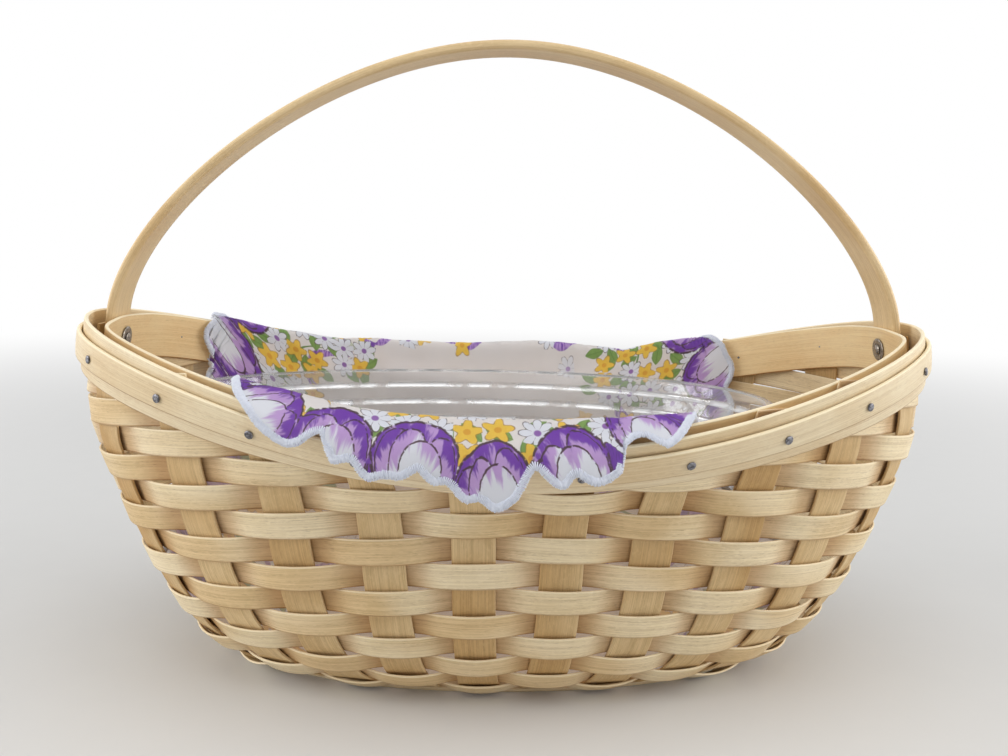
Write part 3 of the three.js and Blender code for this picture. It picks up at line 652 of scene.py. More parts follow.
# %% Crosswise uprights
BASE_EDGE = 2.0
crossing_x = []
for number in range(CROSSWISE):
    back = (LENGTHWISE + 1) // 2 + number
    foot = wall(PLACES[back], 0.0)
    crossing_x.append(foot[0])
    y = np.linspace(-foot[1] + BASE_EDGE, foot[1] - BASE_EDGE, 40)
    flat = np.stack([np.full_like(y, foot[0]), y, np.full_like(y, BASE_LEVEL)], -1)
    upright("crosswise", number, SPLINTS - back, back, flat)
print("crosswise uprights at x:", np.round(crossing_x), "mm")

# %% Lengthwise uprights
CROSSING_STEP = 1.5
for number in range(LENGTHWISE):
    lane = number - LENGTHWISE // 2
    right_place, left_place = (SPLINTS + lane) % SPLINTS, SPLINTS // 2 - lane
    foot = wall(PLACES[right_place], 0.0)
    x = np.linspace(foot[0] - BASE_EDGE, -foot[0] + BASE_EDGE, 110)
    crossing = np.interp(-x, -np.array(crossing_x), np.arange(CROSSWISE))
    level = BASE_LEVEL - CROSSING_STEP * np.cos(np.pi * (crossing + number))
    flat = np.stack([x, np.full_like(x, foot[1]), level], -1)
    upright("lengthwise", number, right_place, left_place, flat)
print("lengthwise uprights:", LENGTHWISE, "over and under", CROSSWISE, "crosswise ones")

# %% [markdown]
# ## Rim bands
# Three thick bands clasp the top of the wall: one inside, one outside, and a half-width band over
# the outer one that carries the tacks. They are riven and shaved, so they are smoother than the
# splints, with rounded edges and a slow waviness. The inner band swells inward at each end,
# where it passes over the foot of the handle.

# %% Finish: shaved band
INNER_WIDTH, TRIM_WIDTH, BINDER_WIDTH = 24.0, 13.0, 12.0
BAND_COLOURS = (243, 228, 195), (233, 213, 177), (194, 165, 122)
INNER_COLOURS = (253, 228, 180), (247, 215, 163), (212, 172, 118)
BAND_WOOD = maple("maple_band", BAND_WIDTH, *BAND_COLOURS)
TRIM_WOOD = maple("maple_trim", TRIM_WIDTH, *BAND_COLOURS)
INNER_WOOD = maple("maple_inner_band", INNER_WIDTH, *INNER_COLOURS, streak=0.34, season=0.25)
print("finishes for bands", BAND_WIDTH, TRIM_WIDTH, "and", INNER_WIDTH, "mm wide")

# %% Bands along the rim
BAND_STEPS, OVERLAP_AT = 264, 0.62
INNER_OFFSET, OUTER_OFFSET, TRIM_OFFSET = -3.7, 3.8, 6.55
BULGE, BULGE_REACH = 5.74, 30.0
band_angle = np.pi * OVERLAP_AT + np.linspace(0.0, FULL_TURN, BAND_STEPS, endpoint=False)


def waviness(size, waves):
    """A slow random wander that closes on itself."""
    turn = np.linspace(0.0, FULL_TURN, BAND_STEPS, endpoint=False)
    wander = sum(rng.normal() * np.cos(k * turn + rng.uniform(0, 6.3)) / k for k in range(3, waves))
    return size * wander / np.abs(wander).max()


rim, rim_end = wall(band_angle, rise_at(band_angle)), wall(0.0, END_RISE)
away = np.hypot(rim_end[0] - np.abs(rim[:, 0]), rim[:, 1])
bulged = INNER_OFFSET - BULGE * np.exp(-((away / BULGE_REACH) ** 4))
# node, width, thickness, edge and crown, wood, drop below the rim, offset and wander
BANDS = {
    "inner": ("inner_rim_band", (INNER_WIDTH, 1.8, 0.75, 0.1), INNER_WOOD, 13.0, bulged, 0.35),
    "outer": ("outer_rim_band", (BAND_WIDTH, 2.0, 0.85, 0.1), BAND_WOOD, 12.5, OUTER_OFFSET, 0.3),
    "trim": ("rim_trim", (TRIM_WIDTH, 2.0, 0.85, 0.2), TRIM_WOOD, 11.5, TRIM_OFFSET, 0.4),
}
for name, (node, form, wood, drop, offset, wander) in BANDS.items():
    climb = rise_at(band_angle) - (drop + waviness(wander, 16))
    points, out = off_wall(band_angle, climb, offset)
    points += out * waviness(0.12, 20)[:, None]
    section = strip_section(f"{name}_section", *form)
    band = sweep(f"{name}_band_shaved", node, "band", points, out, section, wood)
print("bands:", len(band.data.polygons), "faces each")


# %% Binder under the base
def oval_ring(half, level, count, middle=0.0):
    """A level ring of the basket's plan form."""
    flat = shares(np.linspace(0.0, FULL_TURN, count, endpoint=False)) * half
    return np.column_stack([flat[:, 0] + middle, flat[:, 1], np.full(count, level)])


BINDER_INSET, BINDER_LEVEL = 9.0, 1.0
binder_section = strip_section("binder_section", BINDER_WIDTH, 2.0, 0.8)
binder_ring = oval_ring(BASE_HALF - BINDER_INSET, BINDER_LEVEL, 180)
sweep("binder_hoop", "base_binder", "binder", binder_ring, DOWN, binder_section, BAND_WOOD)
print("binder's middle line:", np.ptp(binder_ring[:, :2], axis=0).round(), "mm")

# %% [markdown]
# ## Hoop handle
# The handle is one thick bar, steamed and bent to a hoop, its edges eased all round. Its feet lie
# flat against the wall behind the inner band. The hoop between them is a pair of Bezier curves
# that leave the feet along the wall and meet level at the crown.

# %% Finish and hoop of the handle
HANDLE_WIDTH, HANDLE_THICKNESS, HANDLE_FOOT = 23.0, 4.4, 27.0
HANDLE_OFFSET, HANDLE_SHOULDER, HANDLE_CROWN, CROWN_HEIGHT = -6.04, 52.0, 94.5, 313.4
HANDLE_WOOD = maple(
    "maple_handle", HANDLE_WIDTH, (243, 217, 172), (232, 203, 154), (194, 160, 110),
    fleck=0.15, streak=0.45, relief=0.14, edge_light_and_shade=0.0,
)


def handle_path():
    drops = np.linspace(HANDLE_FOOT, 0.0, 12)
    foot, _ = off_wall(0.0, END_RISE - drops, HANDLE_OFFSET)
    top, up = foot[-1], unit(foot[-1] - foot[-2])
    crown = np.array([0.0, 0.0, CROWN_HEIGHT])
    corners = [top, top + up * HANDLE_SHOULDER, crown + [HANDLE_CROWN, 0.0, 0.0], crown]
    t = np.linspace(0.0, 1.0, 70)[:, None]
    weights = [(1 - t) ** 3, 3 * t * (1 - t) ** 2, 3 * t * t * (1 - t), t ** 3]
    hoop = sum(w * c for w, c in zip(weights, corners))
    half = np.vstack([foot, hoop[1:]])
    half[:, 1] = 0.0
    return np.vstack([half, half[-2::-1] * [-1.0, 1.0, 1.0]])


hoop = handle_path()
hoop_out = np.cross([0.0, 1.0, 0.0], unit(np.gradient(hoop, axis=0)))
hoop_out *= np.sign(np.sum(hoop_out * (hoop - [0.0, 0.0, 150.0]), -1, keepdims=True))
handle_section = strip_section("handle_section", HANDLE_WIDTH, HANDLE_THICKNESS, 1.7)
sweep("bent_handle", "handle_hoop", "handle", hoop, hoop_out, handle_section, HANDLE_WOOD, False)
print("handle's crown at", round(float(hoop[:, 2].max()) + HANDLE_THICKNESS / 2, 1), "mm")

# %% [markdown]
# ## Tacks and rivets
# A tack goes through the bands at each upright, and a rivet with a washer, its burr, holds each
# foot of the handle. Nails of one kind are copies of one form, each turned its own way, so one
# tree sets them: it puts a copy on every point, aims it by two directions that the points
# carry, and makes each a little different. The tree is used again for the stitches of the cloth.

# %% Tree: copies on points
def copies_tree():
    sizes = {"Sway": "Float", "Spread": "Float"}
    tree, given = new_tree("Copies on points", Form="Object", Finish="Material", **sizes)

    def random_vector(seed, scale):
        values = {"Min": (-1.0, -1.0, -1.0), "Max": (1.0, 1.0, 1.0), "Seed": seed}
        drawn = step(tree, "FunctionNodeRandomValue", values, data_type="FLOAT_VECTOR")
        return step(tree, "ShaderNodeVectorMath", {0: drawn, "Scale": scale}, operation="SCALE")

    align = "FunctionNodeAlignRotationToVector"
    across = step(tree, align, {"Vector": named_vector(tree, "ahead")}, axis="X", pivot_axis="AUTO")
    values = {"Rotation": across, "Vector": named_vector(tree, "face")}
    facing = step(tree, align, values, axis="Z", pivot_axis="X")
    turn = step(tree, "FunctionNodeEulerToRotation", {0: random_vector(4, given["Sway"])})
    values = {"Rotation": facing, "Rotate By": turn}
    swayed = step(tree, "FunctionNodeRotateRotation", values, rotation_space="LOCAL")
    values = {0: random_vector(3, given["Spread"]), 1: (1.0, 1.0, 1.0)}
    scales = step(tree, "ShaderNodeVectorMath", values, operation="ADD")
    laid = step(tree, "GeometryNodeInstanceOnPoints", {
        "Points": given["Geometry"], "Instance": object_shape(tree, given["Form"]),
        "Rotation": swayed, "Scale": scales,
    })
    return finished(tree, laid, given["Finish"])


COPIES_TREE = copies_tree()
print(COPIES_TREE.name + ":", len(COPIES_TREE.nodes), "nodes")


def copies(name, points, ahead, face, form, finish, sway=0.0, spread=0.0):
    """Copies of a form at points (mm), its X axis along ahead and its Z axis along face."""
    marks = new_object(name + "_marks", points * MM, attributes={"ahead": ahead, "face": face})
    inputs = {"Form": form, "Finish": finish.material, "Sway": sway, "Spread": spread}
    return run_tree(marks, COPIES_TREE, inputs, name)


# %% Turned forms: tack, rivet and burr
def ring_faces(rings):
    """Faces between rings of point numbers, from the lowest ring up."""
    faces = []
    for low, high in zip(rings, rings[1:]):
        for k in range(len(low)):
            after = (k + 1) % len(low)
            corners = [low[k], low[after], high[after], high[k]]
            faces.append([c for i, c in enumerate(corners) if c not in corners[:i]])
    return faces


def lathe(name, profile, sides, squareness=0.0, closed=False):
    """A form turned about Z from (radius, height) pairs. An open profile starts and ends on the
    axis; a closed one makes a ring. Where squareness is given, the narrow part is nearly square."""
    points, rings = [], []
    for radius, height in profile:
        if radius == 0.0:
            rings.append([len(points)] * sides)
            points.append((0.0, 0.0, height))
            continue
        rings.append(list(range(len(points), len(points) + sides)))
        for k in range(sides):
            turn = 2 * math.pi * k / sides
            reach = radius * (1 + (squareness * math.cos(4 * turn) if radius < 1.0 else 0.0))
            points.append((reach * math.cos(turn), reach * math.sin(turn), height))
    faces = ring_faces(rings + rings[:1] if closed else rings)
    return new_tool(name, np.array(points) * MM, faces=faces)


TACK = lathe("tack", [
    (0.0, -13.0), (0.45, -12.85), (0.68, -12.4), (0.72, -8.0), (0.76, -0.4), (0.95, 0.0), (1.65, 0.02),
    (1.9, 0.16), (1.98, 0.42), (1.84, 0.7), (1.5, 0.88), (1.0, 0.93), (0.5, 0.86), (0.0, 0.84),
], 24, squareness=0.12)
RIVET = lathe("rivet", [
    (0.0, -12.85), (1.3, -12.78), (2.2, -12.5), (2.7, -12.1), (2.75, -11.8), (2.0, -11.72), (2.0, -5.3),
    (3.9, -5.12), (4.35, -4.95), (4.5, -4.6), (4.3, -4.25), (3.4, -4.12), (0.0, -4.1),
], 32)
BURR = lathe("burr", [
    (2.2, -11.0), (5.5, -10.95), (5.9, -11.1), (6.0, -11.35), (5.75, -11.62), (5.0, -11.74),
    (3.8, -11.66), (2.7, -11.5), (2.2, -11.4),
], 40, closed=True)
print("tack, rivet and burr:", *[len(form.data.polygons) for form in (TACK, RIVET, BURR)], "faces")

# %% Finish: nail steel
def nail_steel(name, light, dark, rough, metal):
    finish = Finish(name, Metallic=metal, Roughness=rough)
    bloom = finish.noise(finish.place(), 3.0, scale=900.0)
    scratches = finish.noise(finish.place(), 2.0, scale=2600.0)
    finish.set(Base_Color=finish.mix(bloom.rise(0.35, 0.65), linear(*light), linear(*dark)))
    finish.set(Roughness=bloom * 0.3 + rough - 0.12)
    finish.bump(bloom + scratches * 0.5, 0.35, 0.00012)
    return finish


TACK_STEEL = nail_steel("darkened_steel", (146, 146, 152), (88, 86, 90), 0.44, 0.8)
RIVET_STEEL = nail_steel("dull_steel", (176, 168, 158), (120, 112, 102), 0.4, 0.85)
print("finishes:", TACK_STEEL.material.name, "and", RIVET_STEEL.material.name)

# %% Tacks and rivets on the basket
TACK_SEAT, NAIL_DROP = 7.85, 12.5
tack_places = [place for place in range(SPLINTS) if place % (SPLINTS // 2)]


def nails(name, nodes, slot, places, seat, form, steel, sway=0.0, spread=0.0):
    angle = PLACES[places]
    climb = rise_at(angle) - NAIL_DROP
    ahead = wall_axes(angle, climb)[0]
    points, out = off_wall(angle, climb, seat)
    settle(copies(name, points, ahead, out, form, steel, sway, spread), "basket", slot, *nodes)


tack_nodes = [f"tack_{number + 1:02d}" for number in range(len(tack_places))]
nails("rim_tacks", tack_nodes, "tack", tack_places, TACK_SEAT, TACK, TACK_STEEL, 0.06, 0.035)
ends = [0, SPLINTS // 2]
rivet_nodes = ["right_rivet", "left_rivet"]
nails("handle_rivets", rivet_nodes, "rivet", ends, 0.0, RIVET, RIVET_STEEL)
burr_nodes = [node + "_burr" for node in rivet_nodes]
nails("handle_burrs", burr_nodes, "rivet", ends, 0.0, BURR, RIVET_STEEL)
print("tacks:", len(tack_places), "rivets:", len(ends))

# %% [markdown]
# ## Cloth liner
# A rectangle of printed cotton with a scalloped edge lies in the basket and hangs over both long
# sides. A cloth simulation would settle it somewhere new on every change, so it is draped by rule:
# for each place along the basket a line is drawn across it, over the floor, up the wall, over the
# rim and down, and softened where it bends. The sheet's flat coordinates are then the place along
# the basket and the distance along that line. The cut of its edge is drawn in those coordinates.

# %% Section of the liner across the basket
LINER_FLOOR, FOOT_INSET, RIM_INSET, RIM_LIFT = 7.4, 3.7, 6.8, 3.0
CREST_OFFSET, HANG_OFFSET = 3.5, 12.4
FLOOR_ROWS, WALL_ROWS, SECTION_STEP, SOFT_REACH = 10, 30, 1.0, 7


def place_at(x, climb_of, offset):
    """The place on the back half of an offset wall that lies at x."""
    near, far = np.zeros_like(x), np.full_like(x, np.pi / 2)
    for _ in range(24):
        angle = (near + far) / 2
        past = off_wall(angle, climb_of(angle), offset)[0][..., 0] > np.abs(x)
        near, far = np.where(past, angle, near), np.where(past, far, angle)
    return off_wall(near, climb_of(near), offset)[0]


def bell(count, spread):
    """Weights that fall off to each side of the middle one and add up to 1."""
    weights = np.exp(-0.5 * (np.arange(-count, count + 1) / spread) ** 2)
    return weights / weights.sum()


def liner_section(x):
    """The liner's line at each x, from the middle of the floor over the rim and down, in
    steps of a millimetre: distance across (y) and height (z), and where it meets the rim."""
    climbs = np.arange(0.0, 140.0, 0.5)
    end_line, _ = off_wall(0.0, climbs, -FOOT_INSET)
    start = np.interp(np.abs(x), end_line[:, 0], climbs)
    foot = place_at(x, lambda angle: start, -FOOT_INSET)
    level = np.maximum(foot[:, 2], LINER_FLOOR)
    rows = [(foot[:, 1] * share, level) for share in np.linspace(0.0, 1.0, FLOOR_ROWS)]
    for share in np.linspace(0.04, 1.0, WALL_ROWS):
        inset = FOOT_INSET + (RIM_INSET - FOOT_INSET) * share
        point = place_at(x, lambda angle: start + (rise_at(angle) - start) * share, -inset)
        rows.append((point[:, 1], np.maximum(point[:, 2], level)))
    rim_y, rim_z = rows.pop()
    _, crest_y, crest_z = place_at(x, rise_at, CREST_OFFSET).T
    outer_y = place_at(x, rise_at, HANG_OFFSET)[:, 1]
    rows += [
        (rim_y, rim_z + RIM_LIFT), (crest_y, crest_z + RIM_LIFT),
        (outer_y - 1.5, crest_z + RIM_LIFT - 3.0), (outer_y, crest_z - 6.0), (outer_y, crest_z - 120.0),
    ]
    line = np.array(rows)   # row, (y, z), column
    lengths = np.stack([run_along(line[:, :, column]) for column in range(len(x))])
    distances = np.arange(0.0, 330.0, SECTION_STEP)
    section = []
    for axis, sign in ((0, -1.0), (1, 1.0)):
        pairs = zip(lengths, line[:, axis].T)
        values = np.array([np.interp(distances, run, column) for run, column in pairs])
        mirrored = sign * values[:, SOFT_REACH:0:-1]
        padded = np.hstack([mirrored, values, np.repeat(values[:, -1:], SOFT_REACH, 1)])
        section.append(np.stack([np.convolve(row, bell(SOFT_REACH, 2.4), "valid") for row in padded]))
    return section, lengths[:, FLOOR_ROWS + WALL_ROWS - 1]


# %% Flat cut of the liner
CLOTH_LEFT, CLOTH_RIGHT = -171.5, 141.0
CLOTH_COLUMNS, CLOTH_ROWS = 150, 236
# reach past the inner edge of the rim, in millimetres, at places along the basket
FRONT_CUT = [
    (-175, -92), (-160, -78), (-145, -55), (-130, -24), (-121, -2), (-116.5, 13), (-110, 20.3),
    (-105, 25.2), (-99, 28), (-93, 29.4), (-88, 27.3), (-83, 22), (-78.6, 18.8), (-76, 30.7),
    (-72, 29.6), (-67, 26.6), (-64.4, 31.5), (-61, 34.2), (-57, 32), (-53, 30.5), (-49, 31.4),
    (-45, 29), (-41.5, 25.7), (-38.5, 30), (-35, 31.6), (-31.5, 29.4), (-28.8, 31.1), (-26, 35.6),
    (-23, 37.2), (-20, 35.6), (-17.4, 34.7), (-14.6, 38.4), (-11.5, 39.8), (-7.5, 37.4), (-3.4, 34.2),
    (-0.5, 28), (3, 21.5), (6.6, 26), (10.8, 29.6), (14.4, 31), (16.6, 28), (18, 23.7), (21.6, 27.6),
    (26.6, 30.2), (32, 28.6), (36.4, 26), (38.2, 16), (41.5, 13), (46, 11.9), (50.5, 16.4), (55, 19.5),
    (60, 16.5), (64, 11.5), (67.5, 6.6), (71, -3), (80, -26), (98, -52), (118, -74), (145, -92),
]
BACK_CUT = [
    (-175, -8), (-171, -6), (-168, 4.8), (-165, 22), (-158, 42), (-146, 54), (-120, 62), (-90, 59),
    (-60, 64), (-28, 60), (0, 64), (34, 60), (62, 64), (88, 59), (106, 54), (117, 42), (124, 24),
    (128, 6), (134, -6), (139, -12), (145, -16),
]
LIFT_BACK = [
    (-175, 0.4), (-160, 0.0), (-140, -1.2), (-120, -1.0), (-100, -0.8), (-80, 3.4), (-60, 4.8),
    (-40, 5.6), (-20, 7.0), (0, 8.2), (20, 8.6), (40, 7.4), (60, 3.2), (80, -1.9), (100, 0.9),
    (120, 0.4),
]
LIFT_FRONT = [(-110, 0.0), (-80, 0.6), (-40, 1.6), (-10, 2.6), (20, 2.8), (50, 1.4), (70, 0.4)]


def table_curve(table, x):
    places, values = zip(*table)
    return np.interp(x, places, values)


def scallop(run, pitch):
    """Rounded bumps with sharp notches between them, from -1 to 1."""
    return 2.0 * np.abs(np.sin(np.pi * run / pitch)) - 1.0


SECTION_PITCH = 1.5
SCALLOP_DEPTH, END_SCALLOP_DEPTH, END_SHARE = 2.4, 2.2, 0.07
section_x = np.arange(CLOTH_LEFT - 8.0, CLOTH_RIGHT + 9.0, SECTION_PITCH)
section_lines, rim_inside = liner_section(section_x)
u = np.linspace(0.0, 1.0, CLOTH_COLUMNS)[:, None]
v = np.linspace(0.0, 1.0, CLOTH_ROWS)[None, :]
column_x = CLOTH_LEFT + (CLOTH_RIGHT - CLOTH_LEFT) * u
to_rim = np.interp(column_x, section_x, rim_inside)
front_reach = to_rim + table_curve(FRONT_CUT, column_x)
back_reach = to_rim + table_curve(BACK_CUT, column_x) + SCALLOP_DEPTH * scallop(column_x + 9.0, 27.0)
flat_w = -front_reach + (front_reach + back_reach) * v
near_left, near_right = smooth(1.0 - u / END_SHARE), smooth(1.0 - (1.0 - u) / END_SHARE)
end_waves = near_right * scallop(flat_w + 7.0, 23.0) - near_left * scallop(flat_w - 4.0, 25.0)
flat_x = column_x + END_SCALLOP_DEPTH * end_waves
drift = np.interp(flat_x, section_x, rim_inside) - to_rim
flat_w = flat_w + np.sign(flat_w) * drift * smooth(np.abs(flat_w) / 60.0)


def round_the_hem(grid):
    """The values of a grid along the edge of the sheet, in the order of the cut."""
    return np.concatenate([grid[:, 0], grid[-1, 1:], grid[-2::-1, -1], grid[0, -2:0:-1]])


cut = round_the_hem(np.stack([flat_x, flat_w], -1))


# %% Draping the flat cut
FIELD = 64
HANG_START, FOLD_GROWTH, CREST_AT, CREST_REACH = 16.0, 22.0, 6.0, 13.0


def soft_field(x, y, pitch, seed):
    """Smooth random hills from 0 to 1, about pitch apart."""
    draws = np.pad(np.random.default_rng(seed).random((FIELD, FIELD)), FIELD, "wrap")
    places = [value / pitch + 31.0 + FIELD for value in (x, y)]
    return bilinear(draws, *[np.floor(place) + smooth(place % 1.0) for place in places])


side, far = np.sign(flat_w), np.abs(flat_w)
at_x, at_w = (flat_x - section_x[0]) / SECTION_PITCH, far / SECTION_STEP
across_it, cloth_z = [bilinear(line, at_x, at_w) for line in section_lines]
past_rim = far - np.interp(flat_x, section_x, rim_inside)
hang = np.clip(past_rim - HANG_START, 0.0, None)
crest = np.exp(-(((past_rim - CREST_AT) / CREST_REACH) ** 2))
cloth_z += crest * np.where(side > 0, table_curve(LIFT_BACK, flat_x), table_curve(LIFT_FRONT, flat_x))
hang_folds = soft_field(flat_x, flat_w * 0.25, 17.0, 5) * 2.6 + soft_field(flat_x, flat_w, 9.0, 6) * 0.8
cloth_y = side * (across_it + hang_folds * (hang / FOLD_GROWTH).clip(0.0, 1.4))
cloth = np.stack([flat_x, cloth_y, cloth_z], -1)


def cloth_faces():
    return unit(np.cross(np.gradient(cloth, axis=0), np.gradient(cloth, axis=1)))


wrinkle = soft_field(flat_x, flat_w, 23.0, 7) * 1.5
wrinkle += soft_field(flat_x + flat_w, flat_w - flat_x, 12.0, 8) * 0.9
on_wall = smooth((past_rim + 150.0) / 60.0) * smooth((-past_rim + 10.0) / 20.0)
cloth += cloth_faces() * (wrinkle * (0.25 + 1.15 * on_wall))[..., None]
face = cloth_faces()
low, high = cloth.min((0, 1)).round(), cloth.max((0, 1)).round()
print("liner from", low, "to", high, "mm")

# %% [markdown]
# The print follows two sets of coordinates: the flat ones, and the distance along the edge and in
# from it, because the large blossoms stand in a row along the hem. Both are stored at the points.

# %% Distance along and in from the edge
def at_even_steps(points, step, values=None):
    """Points of a closed chain, or values that go with them, at even steps along it."""
    run = run_along(np.vstack([points, points[:1]]))
    marks = np.arange(0.0, run[-1] - step * 0.5, step)
    values = points if values is None else values
    looped = np.vstack([values, values[:1]])
    return np.stack([np.interp(marks, run, column) for column in looped.T], -1)


def soften_loop(points, reach):
    """Evens out a closed chain over about reach points to each side."""
    padded = np.vstack([points[-3 * reach:], points, points[:3 * reach]])
    weights = bell(3 * reach, reach)
    return np.stack([np.convolve(column, weights, "valid") for column in padded.T], -1)


HEM_STEP, BLOCK = 2.5, 4000
hem = soften_loop(at_even_steps(cut, HEM_STEP), 9)
hem_ahead = unit(np.roll(hem, -1, 0) - np.roll(hem, 1, 0))
hem_side = np.stack([-hem_ahead[:, 1], hem_ahead[:, 0]], -1)
hem_side *= np.sign(np.sum(hem_side * (hem.mean(0) - hem)))
flat_points = np.stack([flat_x, flat_w], -1).reshape(-1, 2)
hem_parts = []
for first in range(0, len(flat_points), BLOCK):
    block = flat_points[first:first + BLOCK]
    gaps = np.hypot(block[:, None, 0] - hem[None, :, 0], block[:, None, 1] - hem[None, :, 1])
    nearest = gaps.argmin(1)
    offset = block - hem[nearest]
    along_part = nearest * HEM_STEP + np.sum(offset * hem_ahead[nearest], -1)
    hem_parts.append((along_part, np.sum(offset * hem_side[nearest], -1)))
hem_along, hem_in = np.hstack(hem_parts)
print("hem:", round(len(hem) * HEM_STEP), "mm long")

# %% Sheet of the liner
COTTON_THICKNESS, MAP_SCALE = 0.45, 1.6
number = np.arange(CLOTH_COLUMNS * CLOTH_ROWS).reshape(CLOTH_COLUMNS, CLOTH_ROWS)
quads = np.stack([number[:-1, :-1], number[1:, :-1], number[1:, 1:], number[:-1, 1:]], -1)
upward = np.sign(face[CLOTH_COLUMNS // 2, CLOTH_ROWS // 2, 2])
# the last value marks where the back of the sheet carries a painted glow
liner = new_object("printed_liner", cloth.reshape(-1, 3) * MM, faces=quads.reshape(-1, 4), attributes={
    "flat_x": flat_points[:, 0], "flat_w": flat_points[:, 1], "hem_along": hem_along, "hem_in": hem_in,
    "print_side": face.reshape(-1, 3) * upward, "painted_glow_share": smooth((-past_rim - 4.0) / 8.0).ravel(),
})
corner_points = np.empty(len(liner.data.loops), np.int32)
liner.data.loops.foreach_get("vertex_index", corner_points)
flat_map = liner.data.uv_layers.new(name="flat")
flat_map.data.foreach_set("uv", (flat_points[corner_points] * MM * MAP_SCALE + 0.5).ravel())


def give_thickness(piece, thickness):
    solid = piece.modifiers.new("thickness", "SOLIDIFY")
    solid.thickness, solid.offset = thickness * MM, 0.0


give_thickness(liner, COTTON_THICKNESS)
print("liner:", len(liner.data.polygons), "squares")

# %% [markdown]
# ### The print
# Voronoi cells scatter the motifs: each cell has one flower, turned and coloured by the cell's
# random values and drawn in polar coordinates about its middle. Large purple cup-shaped blossoms
# stand along the hem, small yellow flowers, daisies and leaves lie further in, up to the plain
# middle, and a ribbon and a stem wander between them. A thin broken line runs round each petal
# as on a hand-drawn print. The back of thin cotton shows the print faintly. Where the sheet lies
# in the basket its back also carries a painted glow, an emission that stands in for light from
# inside, and that glow is what is seen in the gaps of the weave.

# %% Helpers for printed motifs
cotton = Finish("printed_cotton", Roughness=0.82, IOR=1.45)


def motif_cells(along, across, pitch, scatter):
    """Local coordinates in millimetres, the cell's middle and its random values."""
    vector = cotton.vector(along / pitch, across / pitch)
    values = {"Vector": vector, "Scale": 1.0, "Randomness": scatter}
    colour = cotton.node("ShaderNodeTexVoronoi", {"voronoi_dimensions": "2D"}, values, output="Color")
    middle = cotton.node("ShaderNodeSeparateXYZ", {}, {0: colour.beside("Position")})
    middle_x, middle_y = middle * pitch, middle.beside(1) * pitch
    shade = cotton.node("ShaderNodeSeparateColor", {}, {0: colour})
    return along - middle_x, across - middle_y, middle_x, middle_y, [shade.beside(k) for k in range(3)]


def turned(x, y, angle):
    sine, cosine = angle.wave(), (angle + math.pi / 2).wave()
    return x * cosine - y * sine, x * sine + y * cosine


def oval(x, y, middle_x, middle_y, half_x, half_y):
    """1 at the edge of an oval, less inside it."""
    right, up = (x - middle_x) / half_x, (y - middle_y) / half_y
    return (right * right + up * up) ** 0.5


def inside(value, edge, softness=0.03):
    return 1 - value.rise(edge - softness, edge + softness)


def line_at(value, edge, width):
    return 1 - (value - edge).size().rise(width * 0.5, width)


# %% Colours and coordinates of the print
PURPLE, DEEP, LILAC = linear(118, 62, 180), linear(94, 44, 152), linear(200, 166, 226)
PAPER, WARM_PAPER, INK = linear(240, 239, 243), linear(238, 231, 222), linear(78, 58, 72)
YELLOW, AMBER, YELLOW_LINE = linear(250, 214, 86), linear(230, 172, 60), linear(150, 108, 50)
LEAF, LEAF_SHADE = linear(152, 186, 104), linear(104, 148, 74)
PETAL_WHITE, PETAL_LINE, DAISY_EYE = linear(236, 241, 251), linear(120, 104, 124), linear(150, 104, 184)
LEAF_PITCH, FLOWER_PITCH, BLOSSOM_PITCH = 12.0, 13.0, 42.0

print_x, print_w, edge_run, edge_in = [
    cotton.attribute(name) for name in ("flat_x", "flat_w", "hem_along", "hem_in")
]
wobble = cotton.noise((print_x / 3.0, print_w / 3.0))
streaks = cotton.noise((print_x / 0.9, print_w / 5.0, 3.0))
broken = cotton.noise((print_x / 2.2, print_w / 2.2, 9.0), 1.0).rise(0.36, 0.44)
clouding = cotton.noise((print_x / 40.0, print_w / 40.0), 1.0)


def flowered(cell_x, cell_w, spare):
    """1 in the flowered border and ends, with a ragged edge towards the plain middle."""
    from_side = 158.0 - (cell_x + 15.0).size()
    distance = from_side.least(cell_w + 248.0).least(262.0 - cell_w)
    ends = 1 - (from_side + spare * 34.0).rise(99.0, 100.0)
    border = 1 - (distance + spare * 22.0).rise(58.0, 59.0)
    return distance.rise(12.0, 14.0) * ends.most(border)


print("motifs every", LEAF_PITCH, FLOWER_PITCH, "and", BLOSSOM_PITCH, "mm")

# %% A ribbon and a stem that wander round the border
ribbon = (edge_in - 54.0 - (edge_run * 0.083).wave() * 9.0).size()
ribbon_width = (edge_run * 0.139).wave().size() * 2.6 + 0.6
stem = edge_in - 47.0 - (edge_run * 0.117 + 1.3).wave() * 8.0
colour = cotton.coats(
    cotton.mix(clouding * 0.8, PAPER, WARM_PAPER),
    (inside(ribbon - ribbon_width, 0.0, 0.25), cotton.mix(streaks.rise(0.4, 0.6), LILAC, PURPLE)),
    (line_at(stem, 0.0, 0.8), LEAF_SHADE),
)
print("nodes of the print, with ribbon and stem:", len(cotton.tree.nodes))

# %% A scatter of leaves
x, y, cell_x, cell_w, (kind, turn, spare) = motif_cells(print_x + 5.0, print_w - 7.0, LEAF_PITCH, 0.8)
x, y = turned(x, y, turn * 6.283)
leaf_edge = y.size() + x * x * 0.085 + wobble * 0.8
has_leaf = flowered(cell_x, cell_w, spare) * kind.over(0.1)
colour = cotton.coats(
    colour,
    (has_leaf * inside(leaf_edge, 3.5, 0.25), cotton.mix(streaks, LEAF, LEAF_SHADE)),
    (has_leaf * line_at(leaf_edge, 3.3, 0.4) * broken * 0.6, LEAF_SHADE),
    (has_leaf * line_at(y, 0.0, 0.35) * inside(leaf_edge, 3.1, 0.2), LEAF_SHADE),
)
print("with leaves:", len(cotton.tree.nodes))

